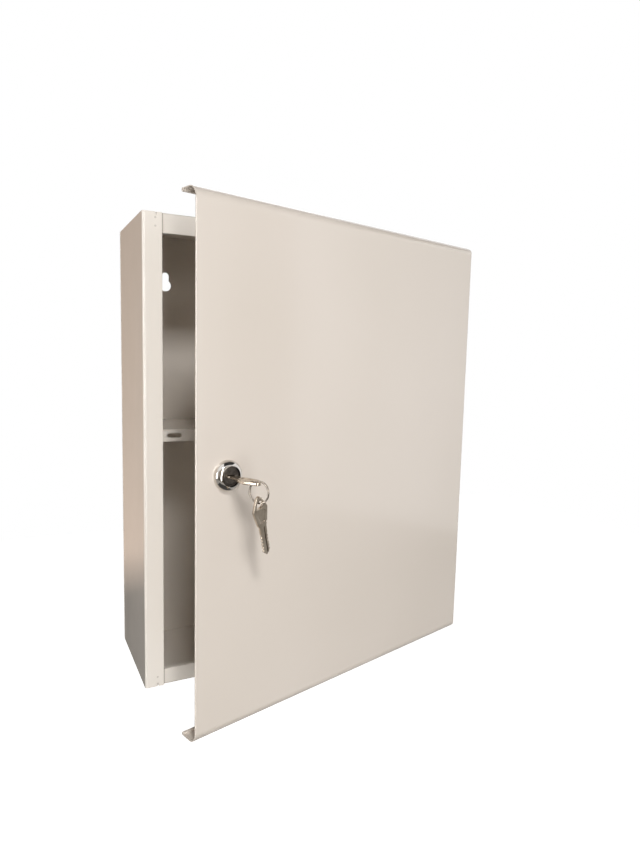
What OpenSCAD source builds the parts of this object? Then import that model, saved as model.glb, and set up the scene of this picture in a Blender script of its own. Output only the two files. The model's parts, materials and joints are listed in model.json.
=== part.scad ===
// Wall-hung medicine cabinet in folded sheet steel, with one locking door.
// Millimetres. +Z is up and the door faces -Y. The origin lies on the wall
// plane, midway between the entry holes of the two keyholes.

/* [Cabinet body] */
// Outer width of the body
body_w = 300; // [240:1:420]
// Outer height of the body
body_h = 380; // [330:1:520]
// Depth of the body from the wall to the stiles
body_d = 101; // [85:1:160]
// Thickness of the enamelled sheet
sheet_t = 0.8; // [0.6:0.1:1]
// Outer radius of the body's folds
fold_r = 2; // [1.5:0.1:3]
// Width of the front stiles
stile_w = 15; // [13:0.5:17]
// Width of the side panels' rear returns
rear_return_w = 12; // [8:0.5:20]
// Height of the front rail under the roof
head_rail_h = 15; // [12:0.5:20]
// Height of the front rail over the floor
foot_rail_h = 13.5; // [12:0.5:20]
// Depth of the folded lip on each rail
rail_lip_d = 5; // [4:0.5:8]
// Gap left where one panel butts against another
seam_gap = 0.1; // [0.05:0.05:0.3]
// Width of the relief notch in the ends of the stiles
relief_w = 0.9; // [0.6:0.1:1.5]
// Depth of the relief notch in the ends of the stiles
relief_h = 2.2; // [1:0.1:4]
// Distance of the relief notch from the body's side
relief_x = 10; // [8:0.5:11]

/* [Shelf] */
// Height of the shelf's top above the underside of the body
shelf_rise = 211.5; // [150:0.5:260]
// Distance of the shelf's front behind the stiles
shelf_setback = 14; // [10:0.5:30]
// Depth of the shelf's folded edges
shelf_lip_h = 10; // [8:0.5:16]
// Outer radius of the shelf's folds
shelf_fold_r = 1.5; // [1.2:0.1:2.5]
// Gap between the shelf and the panels around it
shelf_gap = 0.5; // [0.3:0.1:1.5]
// Length of the oblong slots in the front lip
shelf_slot_l = 12; // [8:0.5:20]
// Height of the oblong slots in the front lip
shelf_slot_h = 3.6; // [2.5:0.1:4]
// Distance from the body's side to the nearer end of a slot
shelf_slot_x = 21.5; // [18:0.5:40]
// Width of each leg of the shelf supports
support_w = 9; // [6:0.5:12]

/* [Wall fixing] */
// Distance between the two keyholes
keyhole_spacing = 220; // [160:1:230]
// Distance from the roof to the entry holes
keyhole_drop = 44; // [35:1:60]
// Radius of the entry holes for the screw heads
keyhole_entry_r = 5.25; // [4.5:0.05:6]
// Radius of the slots that seat the screws
keyhole_seat_r = 3.25; // [2.5:0.05:3.5]
// Height of the seat above the entry hole
keyhole_lift = 8.5; // [7:0.5:12]

/* [Door] */
// Depth of the door
door_d = 18; // [17:0.5:24]
// Gap between the door and the stiles
door_gap = 1; // [0.8:0.1:2]
// Amount by which the door is narrower than the body on each side
door_side_inset = 0.5; // [0:0.1:2]
// Distance of the door's top below the roof
door_head_inset = 0.5; // [0:0.1:3]
// Distance of the door's bottom above the underside of the body
door_foot_inset = 4.5; // [0:0.5:6]
// Outer radius of the door's rolled top and bottom edges
door_roll_r = 8.5; // [5:0.5:10]
// Outer radius of the door's fold on the hinge side
door_fold_r = 2.4; // [1.5:0.1:3.5]
// Width of the hem along the door's free edge
hem_w = 8; // [5:0.5:12]
// Radius of the bead along the rear edges of the flanges
bead_r = 1.3; // [1:0.1:1.8]
// Angle at which the door stands open
door_open = 15.5; // [0:0.5:98]

/* [Hinge] */
// Distance from the pin to the outside of the door's return
pin_inset = 5; // [4.5:0.1:5.2]
// Distance from the pin to the face of the stiles
pin_standoff = 6; // [5.8:0.1:7]
// Radius of the hinge pins
pin_r = 2; // [1.5:0.1:2.2]
// Radial clearance of the pins in the door
pin_clearance = 0.05; // [0.02:0.01:0.1]
// Radius of the heads of the pins
pin_head_r = 3.4; // [3:0.1:3.6]
// Height of the heads of the pins
pin_head_h = 1.2; // [0.8:0.1:2]
// Thickness of the hinge brackets
bracket_t = 2; // [1.5:0.1:2.5]
// Half the width of the hinge brackets
bracket_half_w = 3.8; // [3.4:0.1:4]
// Height of the leg by which each bracket is welded
bracket_leg_h = 14; // [10:0.5:20]
// Thickness of the spacer between bracket and door
washer_t = 2; // [1.5:0.1:3]
// Radius of the spacer between bracket and door
washer_r = 3.8; // [3:0.1:4]
// Play between the spacer and the door
door_play = 0.05; // [0.02:0.01:0.2]
// Clearance around a bracket in its slot
slot_clearance = 0.2; // [0.1:0.05:0.4]
// Clearance between the door's corner and the stile as it swings
swing_clearance = 0.4; // [0.3:0.1:0.8]
// Clearance around a bracket in the notch of the door's return
notch_clearance = 1; // [0.8:0.1:2]

/* [Lock] */
// Distance from the door's free edge to the lock's axis
lock_inset = 24.5; // [24.5:0.5:40]
// Height of the lock's axis above the underside of the body
lock_rise = 191.5; // [160:0.5:220]
// Radius of the bezel
bezel_r = 10.9; // [10:0.1:12]
// Radius of the bezel's domed section
dome_r = 5.4; // [5:0.1:6]
// Radius of the barrel
barrel_r = 9; // [8.6:0.1:9.3]
// Distance across the barrel's flats
barrel_flats = 16; // [15.5:0.1:17]
// Clearance of the barrel in the door
barrel_clearance = 0.1; // [0.05:0.05:0.3]
// Radius of the plug
plug_r = 6.2; // [6:0.1:6.6]
// Radius of the plug's head
plug_head_r = 7; // [6.8:0.1:7.2]
// Height of the plug's face above the door
plug_face = 4.4; // [4:0.1:4.8]
// Radial clearance of the plug in its bore
plug_clearance = 0.05; // [0.02:0.01:0.1]
// Radial clearance around the plug's head
head_clearance = 0.3; // [0.2:0.05:0.5]
// Gap between the stile and the cam behind it
cam_gap = 1; // [0.6:0.1:2]
// Thickness of the cam
cam_t = 2; // [1.5:0.1:3]
// Reach of the cam from the lock's axis to its tip
cam_reach = 19; // [17:0.5:21]
// Radius of the cam around the plug
cam_hub_r = 8; // [7:0.1:8.5]
// Radius of the cam's tip
cam_tip_r = 4.5; // [3.5:0.1:6]
// Side of the plug's square end
square_w = 7; // [6:0.1:8]
// Radius of the cam screw's shank
cam_screw_r = 1.9; // [1.5:0.1:2]
// Distance across the flats of the lock nut
nut_flats = 22; // [20:0.5:23]
// Thickness of the lock nut
nut_t = 5; // [3:0.5:6]
// Thickness of the washer under the lock nut
lock_washer_t = 0.8; // [0.5:0.1:1.5]

/* [Keys] */
// Length of a key
key_l = 45.5; // [44:0.5:56]
// Length of a key's bow
bow_l = 22.5; // [20:0.5:27]
// Width of a key's bow
bow_w = 12.5; // [12:0.1:16]
// Thickness of a key's bow
bow_t = 1.8; // [1.6:0.1:2]
// Width of a key's blade
blade_w = 6; // [5.8:0.1:6.8]
// Thickness of a key's blade
blade_t = 1.5; // [1.2:0.1:1.6]
// Clearance around the blade in the keyway
keyway_clearance = 0.2; // [0.1:0.05:0.25]
// Radius of the hole in a key's bow
key_hole_r = 2.8; // [2.7:0.1:2.9]
// Distance from the tip of the bow to its hole
key_hole_x = 5.8; // [5.6:0.1:6.2]
// Distance by which the bow's tip stands off the door
key_standoff = 37; // [36:0.5:40]

/* [Key ring] */
// Mean radius of the split ring
ring_r = 7.2; // [7:0.1:8]
// Radial thickness of the ring's wire
ring_wire_r = 0.9; // [0.8:0.05:1]
// Axial thickness of the ring's wire
ring_wire_t = 0.6; // [0.5:0.05:0.65]
// Turn of the ring's plane away from the lock's axis
ring_turn = 20; // [20:1:30]
// Play between the ring and the bow that it hangs on
ring_play = 0.2; // [0.1:0.05:0.3]
// Lean of the spare key towards the door
spare_lean = 11; // [5:1:15]
// Tilt of the spare key away from the free edge
spare_tilt = 19; // [10:0.5:22]
// Turn of the spare key about its own length
spare_turn = 6; // [-12:1:8]

/* [Hidden] */
$fn = 64;
// Extra length that makes a cut run past a face
over = 1;

body_top = keyhole_drop;
body_bottom = keyhole_drop - body_h;
stile_y = -body_d;
rail_y = stile_y + sheet_t;
inner_w = body_w - 2 * sheet_t;
opening_w = body_w - 2 * stile_w;

shelf_top = body_bottom + shelf_rise;
shelf_front_y = stile_y + shelf_setback;
shelf_back_y = -2 * sheet_t - shelf_gap;
shelf_w = inner_w - 2 * shelf_gap;

door_back_y = stile_y - door_gap;
door_face_y = door_back_y - door_d;
door_w = body_w - 2 * door_side_inset;
door_top = body_top - door_head_inset;
door_bottom = body_bottom + door_foot_inset;
door_h = door_top - door_bottom;

pin_x = door_w / 2 - pin_inset;
pin_y = stile_y - pin_standoff;
swing_r = pin_standoff - swing_clearance;
bracket_back_y = rail_y + sheet_t + bracket_t;
// Height of each bracket's ear, measured inwards from the door's flange
ear_offset = sheet_t + door_play + washer_t;

lock_x = -door_w / 2 + lock_inset;
lock_z = body_bottom + lock_rise;
bezel_rise = 0.4;
dome_x = bezel_r - sqrt(pow(dome_r, 2) - pow(bezel_rise, 2)) + 0.08;
plug_bore_r = plug_r + plug_clearance;
plug_head_bore_r = plug_head_r + head_clearance;
plug_head_seat = 1.5;
plug_head_under = 0.2;
// The cam lies behind the stile, so the lock's length follows from the door
cam_front = -(rail_y + cam_gap - door_face_y);
cam_back = cam_front - cam_t;
barrel_end = cam_front + 0.5;
cam_washer_t = 0.6;
cam_screw_head_h = 2.4;
cam_screw_l = 7;
groove_r = 5.2;
groove_w = 0.5;
groove_d = 0.3;
square_clearance = 0.05;

blade_l = key_l - bow_l;
blade_tip = key_standoff - key_l;
keyway_w = blade_w + 2 * keyway_clearance;
keyway_t = blade_t + 2 * keyway_clearance;
ring_sides = 8;
ring_step = 12;
ring_pitch = ring_wire_t + 0.02;
ring_stack = ring_wire_t + ring_pitch;
// Angle over which the ring's wire steps from one turn to the other
ring_cross = 40;
// Place of that step around the ring
ring_split_turn = 200;

// The web of the bow, between its hole and its tip, carries the ring
web_l = key_hole_x - key_hole_r;
web_z = key_standoff - web_l / 2;
web_half = (web_l / 2 + ring_stack / 2 * sin(ring_turn)) / cos(ring_turn);
ring_inner_r = (ring_r - ring_wire_r / 2) * cos(ring_step / 2);
ring_drop = sqrt(pow(ring_inner_r, 2) - pow(web_half, 2)) - bow_t / 2 - ring_play;
ring_center = [web_half * sin(ring_turn), -ring_drop, web_z];
spare_hang = 0.9;

// A point on the wire at the foot of the ring
ring_foot = ring_center - [0, ring_r, 0];

// One folded strip of sheet. Each leg is a flat length and the outer radius
// of the fold after it. All folds turn left, with the outside on the right.
module folded_strip(legs, i = 0) {
  square([legs[i][0], sheet_t]);
  if (i < len(legs) - 1) {
    r = legs[i][1];
    translate([legs[i][0], 0]) {
      translate([0, r])
        intersection() {
          difference() {
            circle(r);
            circle(r - sheet_t);
          }
          translate([0, -r]) square(r);
        }
      translate([r, r]) rotate(90) folded_strip(legs, i + 1);
    }
  }
}

// Runs a profile drawn in the YZ plane along X, centred on the body
module along_x(w) {
  translate([-w / 2, 0, 0]) rotate([90, 0, 90]) linear_extrude(w) children();
}

// Runs a profile drawn in the XY plane from z0 up to z1
module along_z(z0, z1) {
  translate([0, 0, z0]) linear_extrude(z1 - z0) children();
}

// Turns the closed door's pieces to the angle at which the door stands
module on_door() {
  translate([pin_x, pin_y, 0])
    rotate([0, 0, door_open])
      translate([-pin_x, -pin_y, 0]) children();
}

// The lock's own frame: X to the right, Y up and Z out of the door
module on_lock() {
  on_door() translate([lock_x, door_face_y, lock_z]) rotate([90, 0, 0]) children();
}

module oblong(l, h) {
  translate([-(l - h) / 2, -h / 2]) square([l - h, h]);
  for (side = [-1, 1]) translate([side * (l - h) / 2, 0]) circle(h / 2);
}

// Side panels

module side_profile() {
  translate([-body_w / 2 + rear_return_w, -sheet_t])
    rotate(180)
      folded_strip([
        [rear_return_w - fold_r, fold_r],
        [body_d - sheet_t - 2 * fold_r, fold_r],
        [stile_w - fold_r, 0]
      ]);
}

module side_sheet() {
  difference() {
    along_z(body_bottom, body_top) side_profile();
    for (z = [body_top - relief_h, body_bottom - over])
      translate([-body_w / 2 + relief_x, stile_y - over, z])
        cube([relief_w, sheet_t + 1.5 * over, relief_h + over]);
    for (z = [body_top - sheet_t - seam_gap, body_bottom - over])
      translate([-body_w / 2 + fold_r, -fold_r, z])
        cube([rear_return_w, fold_r, sheet_t + seam_gap + over]);
  }
}

module side_panel_left() {
  color("antiquewhite") side_sheet();
}

module side_panel_right() {
  color("antiquewhite") difference() {
    mirror([1, 0, 0]) side_sheet();
    bracket_slots();
  }
}

// Roof and floor

// The full-width part of a plate, which stays clear of the side panels' folds
module between_folds(z) {
  translate([stile_y + fold_r, z]) square([body_d - sheet_t - 2 * fold_r, sheet_t]);
}

module top_panel() {
  color("linen") difference() {
    union() {
      along_x(inner_w - 2 * seam_gap) between_folds(body_top - sheet_t);
      along_x(body_w - 2 * fold_r) roof_profile(0);
      along_x(opening_w - 2 * seam_gap) roof_profile(rail_lip_d);
    }
    bracket_slots();
  }
}

module roof_profile(lip) {
  legs = [
    [body_d - 2 * sheet_t - fold_r, fold_r],
    [head_rail_h - fold_r * (lip > 0 ? 2 : 1), fold_r],
    [lip - fold_r, 0]
  ];
  translate([-sheet_t, body_top])
    rotate(180) folded_strip(lip > 0 ? legs : [legs[0], legs[1]]);
}

module bottom_panel() {
  color("linen") difference() {
    union() {
      along_x(inner_w - 2 * seam_gap) between_folds(body_bottom);
      along_x(body_w - 2 * fold_r) floor_profile(0);
      along_x(opening_w - 2 * seam_gap) floor_profile(rail_lip_d);
    }
    bracket_slots();
  }
}

module floor_profile(lip) {
  floor_l = body_d - 2 * sheet_t - fold_r;
  if (lip > 0)
    translate([rail_y + lip, body_bottom + foot_rail_h])
      rotate(180)
        folded_strip([
          [lip - fold_r, fold_r],
          [foot_rail_h - 2 * fold_r, fold_r],
          [floor_l, 0]
        ]);
  else
    translate([rail_y, body_bottom + foot_rail_h])
      rotate(-90) folded_strip([[foot_rail_h - fold_r, fold_r], [floor_l, 0]]);
}

// Back

module keyhole() {
  circle(keyhole_entry_r);
  translate([-keyhole_seat_r, 0]) square([2 * keyhole_seat_r, keyhole_lift]);
  translate([0, keyhole_lift]) circle(keyhole_seat_r);
}

module back_panel() {
  color("linen") translate([0, 0, 0]) rotate([90, 0, 0]) linear_extrude(sheet_t)
    difference() {
      translate([-body_w / 2, body_bottom]) square([body_w, body_h]);
      for (side = [-1, 1]) translate([side * keyhole_spacing / 2, 0]) keyhole();
    }
}

// Shelf

module shelf_profile() {
  translate([shelf_back_y, shelf_top - shelf_lip_h])
    rotate(90)
      folded_strip([
        [shelf_lip_h - shelf_fold_r, shelf_fold_r],
        [shelf_back_y - shelf_front_y - 2 * shelf_fold_r, shelf_fold_r],
        [shelf_lip_h - shelf_fold_r, 0]
      ]);
}

module shelf() {
  slot_center = body_w / 2 - shelf_slot_x - shelf_slot_l / 2;
  color("linen") difference() {
    union() {
      along_x(shelf_w) shelf_profile();
      for (side = [-1, 1])
        translate([
          side * (shelf_w - sheet_t) / 2 - sheet_t / 2,
          shelf_front_y + shelf_fold_r,
          shelf_top - shelf_lip_h
        ])
          cube([
            sheet_t,
            shelf_back_y - shelf_front_y - 2 * shelf_fold_r,
            shelf_lip_h - sheet_t / 2
          ]);
    }
    for (side = [-1, 1])
      translate([
        side * slot_center,
        shelf_front_y + sheet_t + over / 2,
        shelf_top - shelf_lip_h / 2
      ])
        rotate([90, 0, 0]) linear_extrude(sheet_t + over) oblong(shelf_slot_l, shelf_slot_h);
  }
}

// Angle under the shelf's side flange, welded to the side panel
module shelf_support() {
  z = shelf_top - shelf_lip_h;
  translate([-inner_w / 2, shelf_front_y + shelf_fold_r, z - sheet_t])
    cube([support_w, shelf_back_y - shelf_front_y - 2 * shelf_fold_r, sheet_t]);
  translate([-inner_w / 2, shelf_front_y + shelf_fold_r, z - support_w])
    cube([sheet_t, shelf_back_y - shelf_front_y - 2 * shelf_fold_r, support_w]);
}

module shelf_support_left() {
  color("linen") shelf_support();
}

module shelf_support_right() {
  color("linen") mirror([1, 0, 0]) shelf_support();
}

// Hinge

// Puts a piece drawn for the top hinge at the top or the bottom
module at_hinge(top) {
  translate([pin_x, pin_y, top ? door_top : door_bottom])
    mirror([0, 0, top ? 0 : 1]) children();
}

module bracket_plan(grow) {
  w = bracket_half_w + grow;
  circle(w);
  translate([-w, 0]) square([2 * w, bracket_back_y - pin_y + grow]);
}

// Slots in the stile and the rails, through which the brackets reach the door
module bracket_slots() {
  for (top = [true, false])
    at_hinge(top)
      translate([0, 0, -ear_offset - bracket_t - slot_clearance])
        linear_extrude(bracket_t + 2 * slot_clearance) bracket_plan(slot_clearance);
}

module hinge_bracket(top) {
  color("lightgray") at_hinge(top)
    difference() {
      union() {
        translate([0, 0, -ear_offset - bracket_t]) linear_extrude(bracket_t) bracket_plan(0);
        translate([
          -bracket_half_w,
          bracket_back_y - bracket_t - pin_y,
          -ear_offset - bracket_leg_h
        ])
          cube([2 * bracket_half_w, bracket_t, bracket_leg_h]);
      }
      translate([0, 0, -ear_offset - bracket_t - over])
        cylinder(r = pin_r, h = bracket_t + 2 * over);
    }
}

module hinge_bracket_top() {
  hinge_bracket(true);
}

module hinge_bracket_bottom() {
  hinge_bracket(false);
}

module hinge_pin(top) {
  foot = -ear_offset - bracket_t;
  color("silver") at_hinge(top) {
    translate([0, 0, foot - pin_head_h]) cylinder(r = pin_head_r, h = pin_head_h);
    translate([0, 0, foot - pin_head_h / 2])
      cylinder(r = pin_r, h = -foot + pin_head_h / 2 - sheet_t / 8);
  }
}

module hinge_pin_top() {
  hinge_pin(true);
}

module hinge_pin_bottom() {
  hinge_pin(false);
}

module hinge_washer(top) {
  color("whitesmoke") at_hinge(top)
    translate([0, 0, -ear_offset])
      difference() {
        cylinder(r = washer_r, h = washer_t);
        translate([0, 0, -over])
          cylinder(r = pin_r + pin_clearance, h = washer_t + 2 * over);
      }
}

module hinge_washer_top() {
  hinge_washer(true);
}

module hinge_washer_bottom() {
  hinge_washer(false);
}

// Door

// The door seen from its free edge, in the YZ plane, inset by the sheet
module door_section(inset) {
  r = door_roll_r - inset;
  front = door_face_y + inset;
  back = inset > 0 ? door_back_y + over : door_back_y;
  for (z = [door_top - door_roll_r, door_bottom + door_roll_r])
    translate([front + r, z]) circle(r);
  translate([front + r, door_bottom + inset])
    square([back - front - r, door_h - 2 * inset]);
  translate([front, door_bottom + door_roll_r])
    square([back - front, door_h - 2 * door_roll_r]);
}

// The door seen from above, in the XY plane, inset by the sheet
module door_plan(inset) {
  r = door_fold_r - inset;
  front = door_face_y + inset;
  back = inset > 0 ? door_back_y + over : door_back_y;
  left = inset > 0 ? -door_w / 2 - over : -door_w / 2;
  right = door_w / 2 - inset;
  translate([right - r, front + r]) circle(r);
  translate([left, front]) square([right - r - left, back - front]);
  translate([left, front + r]) square([right - left, back - front - r]);
}

module door_shell() {
  difference() {
    intersection() {
      along_x(door_w) door_section(0);
      along_z(door_bottom, door_top) door_plan(0);
    }
    intersection() {
      along_x(door_w + 4 * over) door_section(sheet_t);
      along_z(door_bottom, door_top) door_plan(sheet_t);
    }
  }
}

// Corner behind the pin, rounded about it so that it swings past the stile
module swing_relief() {
  translate([0, 0, door_bottom - over])
    difference() {
      translate([pin_x, pin_y, 0]) cube([2 * door_d, 2 * door_d, door_h + 2 * over]);
      translate([pin_x, pin_y, -over]) cylinder(r = swing_r, h = door_h + 4 * over);
    }
}

// Notch in the door's return that lets the bracket in as the door opens
module bracket_notch() {
  reach = bracket_half_w + pin_inset - sheet_t;
  h = door_play + washer_t + bracket_t + pin_head_h + notch_clearance;
  for (top = [true, false])
    at_hinge(top)
      translate([pin_r, -reach, -sheet_t - h]) cube([2 * pin_inset, door_d, h]);
}

module door_panel() {
  color("antiquewhite") on_door() difference() {
    union() {
      difference() {
        door_shell();
        translate([-door_w / 2 - over, door_face_y - over, door_bottom + door_roll_r])
          cube([over + sheet_t, 2 * over + sheet_t, door_h - 2 * door_roll_r]);
      }
      free_edge_hem();
      flange_beads();
    }
    swing_relief();
    bracket_notch();
    for (top = [true, false])
      at_hinge(top)
        translate([0, 0, -sheet_t - over / 2])
          cylinder(r = pin_r + pin_clearance, h = sheet_t + over);
    lock_hole();
  }
}

// Sheet folded back on itself along the free edge
module free_edge_hem() {
  along_z(door_bottom + door_roll_r, door_top - door_roll_r)
    translate([-door_w / 2 + sheet_t, door_face_y + sheet_t]) {
      circle(sheet_t);
      square([hem_w - sheet_t, sheet_t]);
    }
}

// Closed beads along the rear edges of the two flanges, clear of the hinge
module flange_beads() {
  bead_l = pin_x - 2 * pin_standoff + door_w / 2;
  for (z = [door_top - bead_r, door_bottom + bead_r])
    translate([-door_w / 2, door_back_y - bead_r, z])
      rotate([0, 90, 0]) cylinder(r = bead_r, h = bead_l);
}

module lock_hole() {
  translate([lock_x, door_face_y - over, lock_z])
    rotate([-90, 0, 0])
      linear_extrude(2 * over + 2 * sheet_t) barrel_plan(barrel_clearance);
}

module barrel_plan(grow) {
  intersection() {
    circle(barrel_r + grow);
    square([2 * (barrel_r + grow), barrel_flats + 2 * grow], center = true);
  }
}

// Lock

module lock_housing() {
  color("silver") on_lock() difference() {
    union() {
      rotate_extrude()
        intersection() {
          translate([dome_x, bezel_rise]) circle(dome_r);
          square([bezel_r, 2 * dome_r]);
        }
      translate([0, 0, barrel_end]) linear_extrude(-barrel_end + over / 2) barrel_plan(0);
    }
    translate([0, 0, barrel_end - over]) cylinder(r = plug_bore_r, h = 4 * door_d);
    translate([0, 0, plug_head_seat]) cylinder(r = plug_head_bore_r, h = door_d);
  }
}

module lock_washer() {
  color("silver") on_lock()
    translate([0, 0, -sheet_t - lock_washer_t])
      linear_extrude(lock_washer_t)
        difference() {
          circle(nut_flats / 2);
          barrel_plan(barrel_clearance);
        }
}

module lock_nut() {
  color("silver") on_lock()
    translate([0, 0, -sheet_t - lock_washer_t - nut_t])
      difference() {
        rotate([0, 0, 30]) cylinder(r = nut_flats / 2 / cos(30), h = nut_t, $fn = 6);
        translate([0, 0, -over]) cylinder(r = barrel_r, h = nut_t + 2 * over);
      }
}

module lock_plug() {
  color("dimgray") on_lock() difference() {
    union() {
      translate([0, 0, plug_head_seat + plug_head_under])
        cylinder(r = plug_head_r, h = plug_face - plug_head_seat - plug_head_under);
      translate([0, 0, cam_front]) cylinder(r = plug_r, h = plug_face - cam_front - over);
      translate([0, 0, (cam_front + cam_back) / 2])
        cube([square_w, square_w, cam_t], center = true);
    }
    translate([-keyway_w / 2, -keyway_t / 2, blade_tip - over])
      cube([keyway_w, keyway_t, plug_face - blade_tip + 2 * over]);
    translate([0, 0, plug_face - groove_d])
      difference() {
        cylinder(r = groove_r + groove_w, h = over);
        translate([0, 0, -over]) cylinder(r = groove_r, h = 3 * over);
      }
    translate([0, 0, cam_back - over]) cylinder(r = cam_screw_r, h = cam_screw_l + over);
  }
}

// Flat cam that hangs down when the lock is open
module lock_cam() {
  reach = cam_reach - cam_tip_r;
  color("silver") on_lock() translate([0, 0, cam_back])
    linear_extrude(cam_t)
      difference() {
        union() {
          circle(cam_hub_r);
          translate([0, -reach]) circle(cam_tip_r);
          translate([-cam_tip_r, -reach]) square([2 * cam_tip_r, reach]);
        }
        square(square_w + 2 * square_clearance, center = true);
      }
}

module cam_washer() {
  color("silver") on_lock() translate([0, 0, cam_back - cam_washer_t])
    difference() {
      cylinder(r = square_w * 0.75, h = cam_washer_t);
      translate([0, 0, -over]) cylinder(r = cam_screw_r, h = cam_washer_t + 2 * over);
    }
}

module cam_screw() {
  under = cam_back - cam_washer_t;
  color("silver") on_lock() difference() {
    union() {
      translate([0, 0, under - cam_screw_head_h])
        cylinder(r = 2 * cam_screw_r, h = cam_screw_head_h);
      translate([0, 0, under - over / 2])
        cylinder(r = cam_screw_r, h = cam_screw_l - cam_washer_t);
    }
    for (turn = [0, 90])
      rotate([0, 0, turn])
        translate([0, 0, under - cam_screw_head_h])
          cube([2.4 * cam_screw_r, cam_screw_r / 2, cam_screw_head_h], center = true);
  }
}

// Keys

// Outline of a key from the tip of its bow at the origin to its blade's tip
module bow_outline() {
  side_r = 2.2;
  hull() {
    translate([2.6, 0]) circle(2.6, $fn = 32);
    for (side = [-1, 1]) {
      translate([bow_l * 0.44, side * (bow_w / 2 - side_r)]) circle(side_r, $fn = 32);
      translate([bow_l - 1.4, side * (blade_w / 2 - 0.4)]) circle(1.4, $fn = 32);
    }
  }
}

module bow_recess() {
  hull() {
    translate([key_hole_x + key_hole_r + 1.4, 0]) circle(0.7, $fn = 24);
    for (side = [-1, 1]) {
      translate([bow_l * 0.5, side * (bow_w / 2 - 2.6)]) circle(0.8, $fn = 24);
      translate([bow_l - 3.2, side * blade_w / 4]) circle(0.8, $fn = 24);
    }
  }
}

// Depth of each of the blade's cuts
function cut_depth(i) = 0.55 + 0.3 * ((i * 2 + 1) % 3);

module blade_outline() {
  nose = blade_w / 2;
  cut_pitch = 2.7;
  difference() {
    polygon([
      [bow_l - 2, -blade_w / 2],
      [key_l - nose, -blade_w / 2],
      [key_l, -blade_w / 8],
      [key_l, blade_w / 8],
      [key_l - nose, blade_w / 2],
      [bow_l - 2, blade_w / 2]
    ]);
    for (side = [-1, 1], i = [0:4])
      translate([key_l - nose - (i + 0.6) * cut_pitch, side * blade_w / 2])
        polygon([
          [-1.1, side * 0.1],
          [-0.4, -side * cut_depth(i)],
          [0.4, -side * cut_depth(i)],
          [1.1, side * 0.1]
        ]);
  }
}

module key_blank() {
  recess_d = 0.3;
  groove_t = 0.35;
  difference() {
    union() {
      translate([0, 0, -bow_t / 2]) linear_extrude(bow_t) bow_outline();
      translate([0, 0, -blade_t / 2]) linear_extrude(blade_t) blade_outline();
    }
    translate([key_hole_x, 0, -bow_t]) cylinder(r = key_hole_r, h = 2 * bow_t, $fn = 48);
    for (side = [-1, 1]) {
      translate([0, 0, side > 0 ? bow_t / 2 - recess_d : -bow_t / 2 - recess_d])
        linear_extrude(2 * recess_d) bow_recess();
      translate([bow_l + 1, side * blade_w / 8 - blade_w / 12, side * blade_t / 2 - groove_t])
        cube([key_l, blade_w / 6, 2 * groove_t]);
    }
    for (x = [bow_l - 1.6, bow_l + 0.6])
      translate([x, blade_w / 2 + 0.9, -bow_t]) cylinder(r = 0.8, h = 2 * bow_t, $fn = 24);
  }
}

module key_in_lock() {
  color("darkkhaki") on_lock()
    translate([0, 0, key_standoff])
      rotate([0, 0, -90]) rotate([0, 90, 0]) key_blank();
}

module spare_key() {
  color("darkkhaki") on_lock()
    translate(ring_foot)
      rotate([0, 0, spare_tilt]) rotate([spare_lean, 0, 0]) rotate([0, spare_turn, 0])
        rotate([0, 0, -90]) translate([spare_hang - key_hole_x, 0, 0]) key_blank();
}

// Split ring: two turns of flat wire that step over each other at one place

function ring_step_part(a) = min(1, max(0, (a - 360 + ring_cross / 2) / ring_cross));
function ring_axial(a) =
  ring_pitch * (pow(ring_step_part(a), 2) * (3 - 2 * ring_step_part(a)) - 0.5);
function ring_point(a, s) =
  let (
    turn = 360 * (s + 0.5) / ring_sides,
    u = ring_r + ring_wire_r / 2 * cos(turn) / cos(180 / ring_sides),
    v = ring_axial(a) + ring_wire_t / 2 * sin(turn) / cos(180 / ring_sides)
  ) [u * cos(a), u * sin(a), v];

module key_ring() {
  first = ring_cross / 2 + 2;
  count = ceil((720 - 2 * first) / ring_step);
  step = (720 - 2 * first) / count;
  points = [
    for (i = [0:count], s = [0:ring_sides - 1]) ring_point(first + i * step, s)
  ];
  skin = [
    for (i = [0:count - 1], s = [0:ring_sides - 1])
      let (
        a = i * ring_sides + s,
        b = i * ring_sides + (s + 1) % ring_sides
      )
      each [[a, b, b + ring_sides], [a, b + ring_sides, a + ring_sides]]
  ];
  start = [for (s = [1:ring_sides - 2]) [0, s + 1, s]];
  last = count * ring_sides;
  end = [for (s = [1:ring_sides - 2]) [last, last + s, last + s + 1]];
  color("gray") on_lock()
    translate(ring_center)
      rotate([0, ring_turn, 0]) rotate([0, 90, 0]) rotate([0, 0, ring_split_turn])
        polyhedron(points, concat(skin, start, end));
}

side_panel_left();
side_panel_right();
top_panel();
bottom_panel();
back_panel();
shelf();
shelf_support_left();
shelf_support_right();
hinge_bracket_top();
hinge_bracket_bottom();
hinge_pin_top();
hinge_pin_bottom();
hinge_washer_top();
hinge_washer_bottom();
door_panel();
lock_housing();
lock_washer();
lock_nut();
lock_plug();
lock_cam();
cam_washer();
cam_screw();
key_in_lock();
key_ring();
spare_key();
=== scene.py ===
"""Looks of a wall-hung medicine cabinet in enamelled sheet steel, with one locking door.

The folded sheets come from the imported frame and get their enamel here. The lock, the keys, the
split ring and the hinge parts are modelled again with the edges, threads and recesses that real
ones have. The script also sets up the camera, the lamps, the boards that glossy surfaces mirror
and the floor.
"""

from __future__ import annotations

import json
import logging
import math
from collections.abc import Callable, Iterator, Sequence
from contextlib import contextmanager
from dataclasses import dataclass
from enum import Enum
from itertools import pairwise

import bmesh
import bpy
from mathutils import Matrix, Vector

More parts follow.
